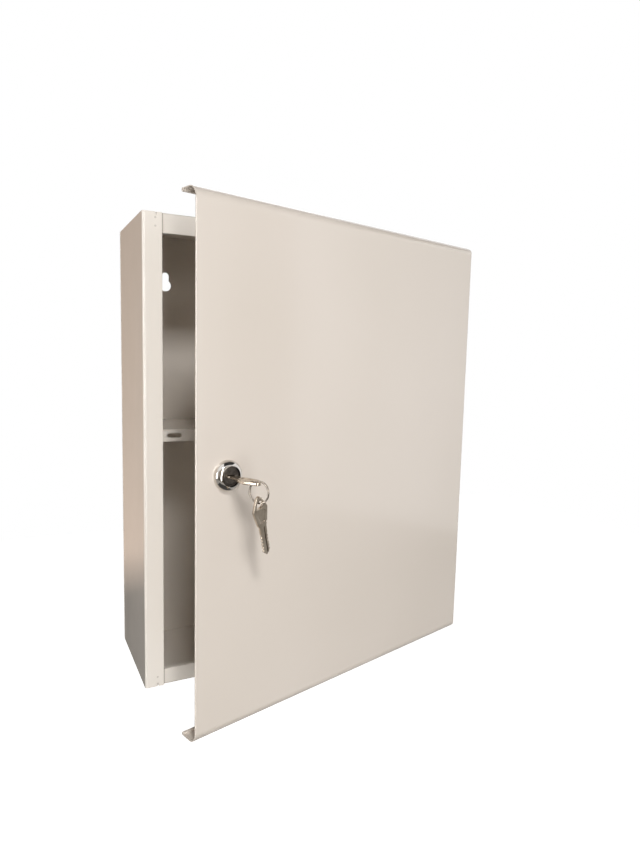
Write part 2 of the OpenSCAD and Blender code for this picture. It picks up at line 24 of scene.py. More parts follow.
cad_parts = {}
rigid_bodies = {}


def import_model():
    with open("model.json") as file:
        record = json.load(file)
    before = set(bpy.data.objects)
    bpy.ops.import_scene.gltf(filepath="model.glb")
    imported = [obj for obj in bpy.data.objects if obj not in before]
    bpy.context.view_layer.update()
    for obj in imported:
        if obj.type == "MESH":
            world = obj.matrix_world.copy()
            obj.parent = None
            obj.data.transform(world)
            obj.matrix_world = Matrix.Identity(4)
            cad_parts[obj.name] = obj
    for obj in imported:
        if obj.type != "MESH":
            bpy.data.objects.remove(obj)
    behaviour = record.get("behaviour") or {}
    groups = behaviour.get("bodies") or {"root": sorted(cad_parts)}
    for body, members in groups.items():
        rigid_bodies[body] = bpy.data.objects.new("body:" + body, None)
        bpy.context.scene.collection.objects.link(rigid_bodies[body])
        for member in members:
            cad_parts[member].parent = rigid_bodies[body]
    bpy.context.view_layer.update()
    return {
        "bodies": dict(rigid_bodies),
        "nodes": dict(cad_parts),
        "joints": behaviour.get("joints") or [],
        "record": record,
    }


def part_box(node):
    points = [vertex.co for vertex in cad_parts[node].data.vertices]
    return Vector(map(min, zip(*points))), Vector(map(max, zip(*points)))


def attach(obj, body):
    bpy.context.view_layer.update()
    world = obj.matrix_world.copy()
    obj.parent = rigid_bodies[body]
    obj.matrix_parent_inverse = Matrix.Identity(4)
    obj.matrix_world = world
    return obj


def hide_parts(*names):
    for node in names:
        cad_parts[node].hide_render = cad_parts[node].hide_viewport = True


LOG = logging.getLogger("cabinet")

MM = 0.001
MERGE_DISTANCE = 0.001
NOISE_LOW = 0.3
NOISE_HIGH = 0.7
EDGE_SAMPLES = 6
ROD_SIDES = 32
TOOL_REACH = 5
PICK_REACH = 0.01

Colour = tuple[float, float, float]
Point = tuple[float, float, float]


class Body(Enum):
    """The moving bodies that a piece can ride on."""

    CABINET = "cabinet"
    DOOR = "door"
    PLUG = "plug"
    KEY = "key"
    RING = "ring"
    SPARE = "spare"


class Slot(Enum):
    """The record's material slots."""

    BODY_ENAMEL = "body_enamel"
    DOOR_ENAMEL = "door_enamel"
    ZINC = "zinc_steel"
    NYLON = "white_plastic"
    CHROME = "lock_chrome"
    PLUG = "plug_steel"
    NICKEL = "key_nickel"
    WIRE = "ring_steel"


class Sum(Enum):
    """Operations of the Math node that expressions use."""

    ADD = "ADD"
    SUBTRACT = "SUBTRACT"
    MULTIPLY = "MULTIPLY"
    DIVIDE = "DIVIDE"
    POWER = "POWER"
    MAXIMUM = "MAXIMUM"
    SINE = "SINE"


class Cut(Enum):
    """Ways in which one solid is joined to another."""

    AWAY = "DIFFERENCE"
    TO = "INTERSECT"
    WITH = "UNION"


def paint(red: int, green: int, blue: int) -> Colour:
    """Turns a colour on the usual scale of 0 to 255 into linear light.

    Args:
        red: Red, from 0 to 255.
        green: Green, from 0 to 255.
        blue: Blue, from 0 to 255.

    Returns:
        The same colour in linear light, from 0 to 1.
    """

    def linear(level: int) -> float:
        share = level / 255
        return share / 12.92 if share <= 0.04045 else ((share + 0.055) / 1.055) ** 2.4

    return linear(red), linear(green), linear(blue)


class Shade:
    """A shader socket that takes part in Python expressions."""

    def __init__(self, graph: Graph, socket: bpy.types.NodeSocket) -> None:
        """Wraps one output socket of a graph."""
        self.graph = graph
        self.socket = socket

    def __add__(self, other: Shade | float) -> Shade:
        """Adds."""
        return self.graph.sum(Sum.ADD, self, other)

    def __radd__(self, other: float) -> Shade:
        """Adds to a number."""
        return self.graph.sum(Sum.ADD, other, self)

    def __sub__(self, other: Shade | float) -> Shade:
        """Subtracts."""
        return self.graph.sum(Sum.SUBTRACT, self, other)

    def __rsub__(self, other: float) -> Shade:
        """Subtracts from a number."""
        return self.graph.sum(Sum.SUBTRACT, other, self)

    def __mul__(self, other: Shade | float) -> Shade:
        """Multiplies."""
        return self.graph.sum(Sum.MULTIPLY, self, other)

    def __rmul__(self, other: float) -> Shade:
        """Multiplies a number."""
        return self.graph.sum(Sum.MULTIPLY, other, self)

    def __truediv__(self, other: Shade | float) -> Shade:
        """Divides."""
        return self.graph.sum(Sum.DIVIDE, self, other)

    def __pow__(self, other: float) -> Shade:
        """Raises to a power."""
        return self.graph.sum(Sum.POWER, self, other)

    def positive(self) -> Shade:
        """Cuts off what is below zero."""
        return self.graph.sum(Sum.MAXIMUM, self, 0.0)

    def sine(self) -> Shade:
        """Takes the sine."""
        return self.graph.sum(Sum.SINE, self, 0.0)


class Graph:
    """The nodes of one material, with its main shader at the end."""

    def __init__(self, name: str) -> None:
        """Starts a material of that name."""
        self.material = bpy.data.materials.new(name)
        self.material.use_nodes = True
        self.tree = self.material.node_tree
        self.shader = self.tree.nodes["Principled BSDF"]

    def feed(self, socket: bpy.types.NodeSocket, value: Shade | float | Sequence[float]) -> None:
        """Gives a socket a link or a plain value.

        Args:
            socket: The input socket.
            value: A shade to link, or the value itself.
        """
        if isinstance(value, Shade):
            self.tree.links.new(value.socket, socket)
        else:
            socket.default_value = value

    def node(
        self,
        kind: str,
        settings: dict[str, object] | None = None,
        inputs: dict[str | int, Shade | float | Sequence[float]] | None = None,
        output: str | int = 0,
    ) -> Shade:
        """Adds a node of any kind.

        Args:
            kind: The node's type.
            settings: Properties that are set first. "stops" holds a ramp's (place, colour) pairs.
            inputs: Values or links, by the input's name or number.
            output: The output that the returned shade stands for.

        Returns:
            The chosen output.
        """
        made = self.tree.nodes.new(kind)
        for key, value in (settings or {}).items():
            if key == "stops":
                self._set_stops(made, value)
            else:
                setattr(made, key, value)
        for key, value in (inputs or {}).items():
            self.feed(made.inputs[key], value)
        return Shade(self, made.outputs[output])

    @staticmethod
    def _set_stops(ramp: bpy.types.Node, stops: Sequence[tuple[float, Colour]]) -> None:
        """Puts (place, colour) stops on a ramp."""
        elements = ramp.color_ramp.elements
        while len(elements) < len(stops):
            elements.new(1.0)
        while len(elements) > len(stops):
            elements.remove(elements[-1])
        for element, (place, colour) in zip(elements, stops):
            element.position = place
            element.color = (*colour, 1.0)

    def sum(self, operation: Sum, first: Shade | float, second: Shade | float) -> Shade:
        """Adds a Math node for one operation on two numbers."""
        return self.node("ShaderNodeMath", {"operation": operation.value}, {0: first, 1: second})

    def place(self) -> Shade:
        """The point being shaded, in the object's own coordinates."""
        return self.node("ShaderNodeTexCoord", output="Object")

    def distance(self, point: Point) -> Shade:
        """How far the shaded point is from another, in metres."""
        return self.node(
            "ShaderNodeVectorMath",
            {"operation": "DISTANCE"},
            {0: self.place(), 1: point},
            "Value",
        )

    def along(self, origin: Point, axis: Point) -> Shade:
        """How far the shaded point lies along an axis from an origin, in metres."""
        offset = self.node(
            "ShaderNodeVectorMath", {"operation": "SUBTRACT"}, {0: self.place(), 1: origin}
        )
        return self.node(
            "ShaderNodeVectorMath", {"operation": "DOT_PRODUCT"}, {0: offset, 1: axis}, "Value"
        )

    def noise(self, size: float, detail: float = 2.0, stretch: Point = (1.0, 1.0, 1.0)) -> Shade:
        """Soft noise around one half.

        Args:
            size: Size of a grain, in metres.
            detail: Number of finer layers.
            stretch: Factor on the noise's frequency along each axis.

        Returns:
            The noise, from 0 to 1.
        """
        mapped = self.node(
            "ShaderNodeMapping", {}, {"Vector": self.place(), "Scale": stretch}
        )
        return self.node(
            "ShaderNodeTexNoise", {}, {"Vector": mapped, "Scale": 1 / size, "Detail": detail}
        )

    def spread(self, value: Shade, low: float, high: float) -> Shade:
        """Maps a value from the middle of its noise range to low and high."""
        return self.node(
            "ShaderNodeMapRange",
            {"clamp": True},
            {
                "Value": value,
                "From Min": NOISE_LOW,
                "From Max": NOISE_HIGH,
                "To Min": low,
                "To Max": high,
            },
        )

    def mix(self, factor: Shade | float, first: Colour | Shade, second: Colour | Shade) -> Shade:
        """Mixes two colours."""
        colours = [c if isinstance(c, Shade) else (*c, 1.0) for c in (first, second)]
        return self.node(
            "ShaderNodeMix",
            {"data_type": "RGBA"},
            {0: factor, 6: colours[0], 7: colours[1]},
            2,
        )

    def bump(self, height: Shade, depth: float, edge_radius: float = 0.0) -> Shade:
        """Raises the surface by a height.

        Args:
            height: Height, from 0 to 1.
            depth: What a height of 1 measures, in metres.
            edge_radius: Radius by which sharp edges look rounded, in metres.

        Returns:
            The bumped normal.
        """
        inputs = {"Height": height, "Distance": depth, "Strength": 1.0}
        if edge_radius > 0:
            settings = {"samples": EDGE_SAMPLES}
            inputs["Normal"] = self.node("ShaderNodeBevel", settings, {"Radius": edge_radius})
        return self.node("ShaderNodeBump", {}, inputs)

    def finish(self, **inputs: Shade | float | Sequence[float]) -> bpy.types.Material:
        """Feeds the main shader and returns the material.

        Args:
            **inputs: Values by the shader's input names, with underscores for spaces.

        Returns:
            The finished material.
        """
        for key, value in inputs.items():
            self.feed(self.shader.inputs[key.replace("_", " ")], value)
        return self.material


@dataclass(frozen=True)
class Enamel:
    """Glossy stove enamel in warm white, with the faint orange peel of sprayed sheet, and painted
    shade in weld dimples and along seams.
    """

    name: str
    colour: Colour = paint(238, 231, 222)
    deep_colour: Colour = paint(234, 226, 216)
    cloud_size: float = 0.16
    roughness: float = 0.15
    roughness_play: float = 0.03
    roughness_patch: float = 0.03
    coat: float = 0.4
    coat_roughness: float = 0.03
    peel_size: float = 0.0035
    peel_depth: float = 0.000018
    edge_radius: float = 0.0005
    welds: tuple[Point, ...] = ()
    # painted shade: the darker colour mixed into weld dimples and seam lines, for the shade that
    # falls in them
    painted_shade_colour: Colour = paint(128, 116, 103)
    weld_radius: float = 0.001
    weld_depth: float = 0.00025
    weld_slope: float = 0.7
    weld_shade_tint: float = 0.45
    # painted shadow: x of each seam, and width and strength of the dark line painted along it
    seam_shadows: tuple[float, ...] = ()
    seam_shadow_width: float = 0.0009
    seam_shadow_tint: float = 0.8

    def make(self) -> bpy.types.Material:
        """Builds the enamel."""
        graph = Graph(self.name)
        cloud = graph.noise(self.cloud_size, 1.0)
        tone = graph.mix(graph.spread(cloud, 0.0, 1.0), self.colour, self.deep_colour)
        height = graph.noise(self.peel_size, 1.0) * (self.peel_depth / self.weld_depth)
        for point in self.welds:
            reach = graph.distance(point)
            dimple = (1.0 - reach / self.weld_radius).positive() ** self.weld_slope
            height = height - dimple
            # painted shade: the base colour darkens inside each weld dimple
            tone = graph.mix(dimple * self.weld_shade_tint, tone, self.painted_shade_colour)
        # painted shadow: a dark line along each seam, where the stile's edge steps over the rail
        # and shade falls
        for seam in self.seam_shadows:
            reach = graph.along((seam, 0.0, 0.0), (1.0, 0.0, 0.0))
            shadow_line = (1.0 - (reach * reach) ** 0.5 / self.seam_shadow_width).positive()
            tone = graph.mix(shadow_line * self.seam_shadow_tint, tone, self.painted_shade_colour)
        patch = graph.noise(self.roughness_patch, 2.0)
        smooth = self.roughness - self.roughness_play
        rough = self.roughness + self.roughness_play
        return graph.finish(
            Base_Color=tone,
            Roughness=graph.spread(patch, smooth, rough),
            Coat_Weight=self.coat,
            Coat_Roughness=self.coat_roughness,
            Normal=graph.bump(height, self.weld_depth, self.edge_radius),
        )


@dataclass(frozen=True)
class Metal:
    """Bare or plated metal with a fine grain."""

    name: str
    colour: Colour
    dark: Colour
    roughness: float
    grain_size: float = 0.0006
    grain_depth: float = 0.000008
    grain_stretch: Point = (1.0, 1.0, 1.0)
    blotch_size: float = 0.006
    roughness_swing: float = 0.4
    edge_radius: float = 0.0002

    def make(self) -> bpy.types.Material:
        """Builds the metal."""
        graph = Graph(self.name)
        blotch = graph.spread(graph.noise(self.blotch_size, 3.0), 0.0, 1.0)
        grain = graph.noise(self.grain_size, 2.0, self.grain_stretch)
        swing = self.roughness_swing
        return graph.finish(
            Base_Color=graph.mix(blotch, self.colour, self.dark),
            Metallic=1.0,
            Roughness=self.roughness * ((1 - swing / 2) + swing * grain),
            Normal=graph.bump(grain, self.grain_depth, self.edge_radius),
        )


@dataclass(frozen=True)
class TurnedMetal:
    """Metal turned on a lathe, whose tool left fine rings about the axis."""

    name: str
    colour: Colour
    dark: Colour
    roughness: float
    origin: Point
    axis: Point
    ring_pitch: float = 0.0004
    ring_depth: float = 0.000012
    roughness_swing: float = 0.3
    blotch_size: float = 0.004
    edge_radius: float = 0.0002

    def make(self) -> bpy.types.Material:
        """Builds the metal."""
        graph = Graph(self.name)
        reach = graph.distance(self.origin)
        height = graph.along(self.origin, self.axis)
        radius = (reach * reach - height * height).positive() ** 0.5
        rings = 0.5 + 0.5 * (radius * (2 * math.pi / self.ring_pitch)).sine()
        blotch = graph.spread(graph.noise(self.blotch_size, 3.0), 0.0, 1.0)
        swing = self.roughness_swing
        return graph.finish(
            Base_Color=graph.mix(blotch, self.colour, self.dark),
            Metallic=1.0,
            Roughness=self.roughness * ((1 - swing / 2) + swing * rings),
            Normal=graph.bump(rings, self.ring_depth, self.edge_radius),
        )


@dataclass(frozen=True)
class Nylon:
    """Moulded nylon, matt and a little waxy."""

    name: str
    colour: Colour = paint(228, 226, 220)
    shade: float = 0.9
    blotch_size: float = 0.003
    speckle_size: float = 0.0008
    speckle_depth: float = 0.00001
    roughness: tuple[float, float] = (0.45, 0.6)
    glow: float = 0.1
    edge_radius: float = 0.0002

    def make(self) -> bpy.types.Material:
        """Builds the nylon."""
        graph = Graph(self.name)
        speckle = graph.noise(self.speckle_size, 2.0)
        darker = tuple(self.shade * level for level in self.colour)
        blotch = graph.spread(graph.noise(self.blotch_size), 0.0, 1.0)
        return graph.finish(
            Base_Color=graph.mix(blotch, self.colour, darker),
            Roughness=graph.spread(speckle, *self.roughness),
            Subsurface_Weight=self.glow,
            Normal=graph.bump(speckle, self.speckle_depth, self.edge_radius),
        )


@dataclass(frozen=True)
class Seat:
    """Where a piece's own frame, in millimetres, lies in the shared frame."""

    origin: Vector
    right: Vector
    up: Vector
    out: Vector

    def matrix(self) -> Matrix:
        """The move from the piece's millimetres to the shared frame's metres."""
        turn = Matrix((self.right, self.up, self.out)).transposed().to_4x4()
        return Matrix.Translation(self.origin) @ turn @ Matrix.Scale(MM, 4)


class Bench:
    """Work on one mesh at a time: primitives, edit-mode operators and applied modifiers."""

    FLAT_ANGLE = 0.5
    EDGE_ANGLE = 35
    SHADE_ANGLE = 32

    @staticmethod
    def clear() -> None:
        """Deselects everything."""
        bpy.ops.object.select_all(action="DESELECT")

    @staticmethod
    def take(piece: bpy.types.Object) -> None:
        """Makes one piece the only selected and the active one."""
        Bench.clear()
        piece.select_set(True)
        bpy.context.view_layer.objects.active = piece

    @staticmethod
    @contextmanager
    def editing(piece: bpy.types.Object) -> Iterator[None]:
        """Holds a piece in edit mode, with all of its mesh selected at first."""
        Bench.take(piece)
        bpy.ops.object.mode_set(mode="EDIT")
        bpy.ops.mesh.select_mode(type="VERT")
        bpy.ops.mesh.select_all(action="SELECT")
        try:
            yield
        finally:
            bpy.ops.object.mode_set(mode="OBJECT")

    @staticmethod
    def named(name: str) -> bpy.types.Object:
        """Gives the primitive that was just added its name."""
        piece = bpy.context.active_object
        piece.name = name
        piece.data.name = name
        return piece

    @staticmethod
    def cylinder(
        name: str, radius: float, low: float, high: float, sides: int = 64, at: Point = (0, 0, 0)
    ) -> bpy.types.Object:
        """Adds a cylinder along Z.

        Args:
            name: The piece's name.
            radius: Its radius.
            low: Height of its foot.
            high: Height of its top.
            sides: Number of its sides.
            at: Place of its axis.

        Returns:
            The piece.
        """
        Bench.clear()
        middle = (at[0], at[1], at[2] + (low + high) / 2)
        bpy.ops.mesh.primitive_cylinder_add(
            vertices=sides, radius=radius, depth=high - low, location=middle
        )
        piece = Bench.named(name)
        bpy.ops.object.transform_apply(location=True, rotation=True, scale=True)
        return piece

    @staticmethod
    def block(name: str, low: Point, high: Point) -> bpy.types.Object:
        """Adds a block between two corners."""
        Bench.clear()
        middle = tuple((a + b) / 2 for a, b in zip(low, high))
        bpy.ops.mesh.primitive_cube_add(size=1, location=middle)
        piece = Bench.named(name)
        piece.scale = tuple(b - a for a, b in zip(low, high))
        bpy.ops.object.transform_apply(location=True, rotation=True, scale=True)
        return piece

    @staticmethod
    def lathe(
        name: str, outline: Sequence[tuple[float, float]], steps: int = 72
    ) -> bpy.types.Object:
        """Draws an outline by extruding a point, and spins it about Z.

        Args:
            name: The piece's name.
            outline: Points of (radius, height). It starts and ends on the axis, or it ends where
                it starts.
            steps: Number of steps round the axis.

        Returns:
            The piece.
        """
        Bench.clear()
        bpy.ops.mesh.primitive_plane_add(size=1, location=(0, 0, 0))
        piece = Bench.named(name)
        with Bench.editing(piece):
            bpy.ops.mesh.merge(type="CENTER")
            bpy.ops.transform.translate(value=(outline[0][0], 0, outline[0][1]))
            for (radius, height), (next_radius, next_height) in pairwise(outline):
                step = (next_radius - radius, 0, next_height - height)
                bpy.ops.mesh.extrude_vertices_move(TRANSFORM_OT_translate={"value": step})
            bpy.ops.mesh.select_all(action="SELECT")
            bpy.ops.mesh.remove_doubles(threshold=MERGE_DISTANCE)
            bpy.ops.mesh.spin(steps=steps, angle=2 * math.pi, center=(0, 0, 0), axis=(0, 0, 1))
            bpy.ops.mesh.select_all(action="SELECT")
            bpy.ops.mesh.remove_doubles(threshold=MERGE_DISTANCE)
            bpy.ops.mesh.normals_make_consistent(inside=False)
        return piece

    @staticmethod
    def plate(name: str, corners: Sequence[Point], low: float, high: float) -> bpy.types.Object:
        """Wraps a flat plate round upright rods of (x, y, radius).

        Args:
            name: The piece's name.
            corners: Place and radius of each rod.
            low: Height of the plate's underside.
            high: Height of its top.

        Returns:
            The piece.
        """
        first, *others = corners
        piece = Bench.cylinder(name, first[2], low, high, ROD_SIDES, (first[0], first[1], 0))
        with Bench.editing(piece):
            for x, y, radius in others:
                bpy.ops.mesh.primitive_cylinder_add(
                    vertices=ROD_SIDES,
                    radius=radius,
                    depth=high - low,
                    location=(x, y, (low + high) / 2),
                )
            bpy.ops.mesh.select_all(action="SELECT")
            bpy.ops.mesh.convex_hull()
            bpy.ops.mesh.dissolve_limited(angle_limit=math.radians(1))
        return piece

    @staticmethod
    def pick_vertices(piece: bpy.types.Object, wanted: Callable[[Vector], bool]) -> None:
        """Selects the vertices whose place passes a test, in edit mode.

        Args:
            piece: The piece being edited.
            wanted: The test on a vertex's place.
        """
        mesh = bmesh.from_edit_mesh(piece.data)
        for face in mesh.faces:
            face.select_set(False)
        for edge in mesh.edges:
            edge.select_set(False)
        for vertex in mesh.verts:
            vertex.select_set(wanted(vertex.co))
        mesh.select_flush(True)
        bmesh.update_edit_mesh(piece.data)

    @staticmethod
    def close_ends(piece: bpy.types.Object) -> None:
        """Caps the open ends of a swept piece and turns its faces outwards."""
        with Bench.editing(piece):
            bpy.ops.mesh.fill_holes(sides=0)
            bpy.ops.mesh.select_all(action="SELECT")
            bpy.ops.mesh.normals_make_consistent(inside=False)

    @staticmethod
    def modify(piece: bpy.types.Object, kind: str, **settings: object) -> None:
        """Adds a modifier and applies it.

        Args:
            piece: The piece to change.
            kind: The modifier's type.
            **settings: The modifier's properties.
        """
        Bench.take(piece)
        modifier = piece.modifiers.new(kind.title(), kind)
        for key, value in settings.items():
            setattr(modifier, key, value)
        bpy.ops.object.modifier_apply(modifier=modifier.name)

    @staticmethod
    def combine(piece: bpy.types.Object, way: Cut, tool: bpy.types.Object) -> None:
        """Joins a tool to a piece, or cuts it away, and removes the tool."""
        Bench.modify(piece, "BOOLEAN", operation=way.value, solver="EXACT", object=tool)
        bpy.data.objects.remove(tool, do_unlink=True)

    @staticmethod
    def soften(piece: bpy.types.Object, width: float, segments: int = 2) -> None:
        """Breaks the sharp edges of a piece and shades the rest smooth.

        Args:
            piece: The piece to change.
            width: Width of the broken edge.
            segments: Number of steps over the edge.
        """
        with Bench.editing(piece):
            bpy.ops.mesh.remove_doubles(threshold=width / 50)
            bpy.ops.mesh.dissolve_limited(angle_limit=math.radians(Bench.FLAT_ANGLE))
        Bench.modify(
            piece,
            "BEVEL",
            width=width,
            segments=segments,
            limit_method="ANGLE",
            angle_limit=math.radians(Bench.EDGE_ANGLE),
            use_clamp_overlap=True,
        )
        Bench.take(piece)
        bpy.ops.object.shade_smooth_by_angle(
            angle=math.radians(Bench.SHADE_ANGLE), keep_sharp_edges=False
        )

    @staticmethod
    def smooth(piece: bpy.types.Object, degrees: float) -> None:
        """Shades a piece smooth, apart from edges that turn by more than an angle."""
        Bench.take(piece)
        bpy.ops.object.shade_smooth_by_angle(angle=math.radians(degrees))

    @staticmethod
    def dome(radius: float, rise: float, foot: float, steps: int) -> list[tuple[float, float]]:
        """Section of a low dome, from its middle at the foot to its rim.

        Args:
            radius: Radius of the rim.
            rise: Height of the rim over the middle.
            foot: Height of the middle.
            steps: Number of steps to the rim.

        Returns:
            Points of (radius, height).
        """
        outline = [(0.0, foot)]
        for step in range(1, steps + 1):
            angle = math.radians(90 * step / steps)
            outline.append((radius * math.sin(angle), foot + rise * (1 - math.cos(angle))))
        return outline

    @staticmethod
    def copy_node(node: bpy.types.Object, name: str) -> bpy.types.Object:
        """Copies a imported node's mesh into a new piece in millimetres."""
        piece = bpy.data.objects.new(name, node.data.copy())
        bpy.context.scene.collection.objects.link(piece)
        piece.data.transform(Matrix.Scale(1 / MM, 4))
        Bench.take(piece)
        bpy.ops.mesh.customdata_custom_splitnormals_clear()
        return piece


@dataclass
class Workshop:
    """What every sub-assembly needs: the frame, and the ways to dress and hand over a piece."""

    frame: dict[str, object]

    def joint(self, name: str) -> dict[str, object]:
        """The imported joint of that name."""
        return next(j for j in self.frame["joints"] if j["name"] == name)

    def dress(self, node: str, finish: bpy.types.Material) -> None:
        """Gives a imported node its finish."""
        piece = self.frame["nodes"][node]
        for index in range(len(piece.material_slots)):
            piece.material_slots[index].material = finish
        LOG.info("%s dressed in %s", node, finish.name)

    def settle(self, piece: bpy.types.Object, place: Matrix) -> None:
        """Moves a piece's mesh to its place, and leaves its object at the origin."""
        piece.data.transform(place)
        piece.data.update()

    def hand_over(
        self,
        piece: bpy.types.Object,
        body: Body,
        slot: Slot,
        finish: bpy.types.Material,
        replaced: Sequence[str] = (),
    ) -> None:
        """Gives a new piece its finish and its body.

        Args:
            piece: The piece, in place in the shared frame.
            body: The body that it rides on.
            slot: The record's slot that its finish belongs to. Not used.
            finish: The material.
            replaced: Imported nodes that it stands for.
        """
        piece.data.materials.clear()
        piece.data.materials.append(finish)
        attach(piece, body.value)
        if replaced:
            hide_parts(*replaced)
        LOG.info("%s rides on %s, %d faces", piece.name, body.value, len(piece.data.polygons))

    def refine(
        self,
        node: str,
        name: str,
        edge_width: float,
        body: Body,
        slot: Slot,
        finish: bpy.types.Material,
    ) -> None:
        """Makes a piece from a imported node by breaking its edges, and hands it over.

        Args:
            node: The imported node, which the piece stands for.
            name: The piece's name.
            edge_width: Width of the broken edges, in millimetres.
            body: The body that it rides on.
            slot: The record's slot that its finish belongs to.
            finish: The material.
        """
        piece = Bench.copy_node(self.frame["nodes"][node], name)
        Bench.soften(piece, edge_width)
        self.settle(piece, Matrix.Scale(MM, 4))
        self.hand_over(piece, body, slot, finish, [node])


@dataclass
class Cabinet:
    """The folded body: two sides, roof, floor, back, shelf and its supports."""

    shop: Workshop
    half_width: float = 0.150
    top: float = 0.044
    bottom: float = -0.336
    stile_face: float = -0.101
    weld_inset: float = 0.010
    low_welds: tuple[float, float] = (0.0023, 0.0081)
    high_welds: tuple[float, float] = (0.0042, 0.0105)
    # x of the stile edges, where a painted shadow line runs along the roof and floor panels
    seam_shadows: tuple[float, float] = (-0.1347, 0.1347)

    def weld_points(self) -> tuple[Point, ...]:
        """Centres of the spot welds at the ends of both stiles."""
        heights = [self.bottom + rise for rise in self.low_welds]
        heights += [self.top - drop for drop in self.high_welds]
        across = self.half_width - self.weld_inset
        return tuple((side * across, self.stile_face, z) for side in (-1, 1) for z in heights)

    def build(self) -> None:
        """Dresses the sheets."""
        plain = Enamel("enamel_plain").make()
        # stile enamel with weld dimples, darkened by painted shade
        weld_shaded = Enamel("enamel_with_welds_and_painted_shade", welds=self.weld_points()).make()
        for node in ("side_panel_left", "side_panel_right"):
            self.shop.dress(node, weld_shaded)
        # roof and floor enamel with a painted shadow line at each stile edge
        seam_shaded = Enamel("enamel_with_painted_seam_shadows", seam_shadows=self.seam_shadows).make()
        for node in ("top_panel", "bottom_panel"):
            self.shop.dress(node, seam_shaded)
        for node in ("back_panel", "shelf", "shelf_support_left", "shelf_support_right"):
            self.shop.dress(node, plain)


@dataclass
class Hinges:
    """Brackets, spacers and headed pins at the top and the bottom of the door."""

    shop: Workshop
    pin_radius: float = 2.0
    tip_chamfer: float = 0.3
    head_radius: float = 3.4
    head_height: float = 1.2
    crown_share: float = 0.55
    crown_steps: int = 6
    edge_width: float = 0.25

    def build(self) -> None:
        """Models and dresses the hinge parts."""
        zinc = Metal(
            "zinc_plate", paint(205, 205, 202), paint(176, 177, 178), 0.34, blotch_size=0.004
        ).make()
        nylon = Nylon("nylon").make()
        for end in ("top", "bottom"):
            self.refine(f"hinge_bracket_{end}", f"bracket_{end}", Slot.ZINC, zinc)
            self.pin(end, zinc)
            self.refine(f"hinge_washer_{end}", f"spacer_{end}", Slot.NYLON, nylon)

    def refine(self, node: str, name: str, slot: Slot, finish: bpy.types.Material) -> None:
        """Breaks the edges of a bracket or a spacer."""
        self.shop.refine(node, name, self.edge_width, Body.CABINET, slot, finish)

    def pin(self, end: str, finish: bpy.types.Material) -> None:
        """Turns a pin with a domed head.

        Args:
            end: Which hinge, "top" or "bottom".
            finish: The material.
        """
        node = f"hinge_pin_{end}"
        low, high = (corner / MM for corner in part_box(node))
        length = high.z - low.z
        crown = self.crown_share * self.head_height
        outline = Bench.dome(self.head_radius, crown, 0.0, self.crown_steps)
        outline += [
            (self.head_radius, self.head_height),
            (self.pin_radius, self.head_height),
            (self.pin_radius, length - self.tip_chamfer),
            (self.pin_radius - self.tip_chamfer, length),
            (0.0, length),
        ]
        piece = Bench.lathe(f"pin_{end}", outline, steps=48)
        Bench.smooth(piece, degrees=40)
        centre = (low + high) / 2
        if end == "top":
            foot = Matrix.Translation((centre.x, centre.y, low.z))
        else:
            foot = Matrix.Translation((centre.x, centre.y, high.z))
            foot = foot @ Matrix.Rotation(math.pi, 4, "X")
        self.shop.settle(piece, Matrix.Scale(MM, 4) @ foot)
        self.shop.hand_over(piece, Body.CABINET, Slot.ZINC, finish, [node])


@dataclass
class Door:
    """The door's one sheet."""

    shop: Workshop

    def build(self) -> None:
        """Dresses the door."""
        enamel = Enamel("enamel_door", paint(229, 219, 209), paint(224, 214, 203))
        self.shop.dress("door_panel", enamel.make())


@dataclass(frozen=True)
class PlugFace:
    """Sizes of the plug's turned face and keyway, in millimetres."""

    chamfer: float = 0.35
    groove_mouth: tuple[float, float] = (5.75, 5.1)
    groove_floor: tuple[float, float] = (5.6, 5.25)
    groove_depth: float = 0.3
    dish_mouth: float = 4.75
    dish_floor: float = 4.55
    dish_depth: float = 0.14
    keyway_width: float = 6.4
    keyway_height: float = 1.9
    keyway_end: float = -9.5
    keyway_mouth_depth: float = 0.5
    keyway_flare: tuple[float, float] = (1.16, 1.55)


@dataclass(frozen=True)
class NutPattern:
    """Sizes of the hexagon nut, in millimetres."""

    flats: float = 22.0
    thickness: float = 5.0
    face: float = -1.6
    rim_inset: float = 0.2
    chamfer_width: float = 2.4
    chamfer_drop: float = 0.9
    edge_width: float = 0.2


@dataclass(frozen=True)
class ScrewPattern:
    """Sizes of the pan-head screw that holds the cam, in millimetres."""

    head_radius: float = 3.8
    head_height: float = 2.4
    crown: float = 1.3
    crown_steps: int = 7
    shank_radius: float = 1.9
    shank_length: float = 5.5
    length: float = 6.4
    recess_reach: float = 2.2
    recess_half: float = 0.42
    recess_depth: float = 1.3
    recess_overlap: float = 0.5
    recess_taper: float = 0.55


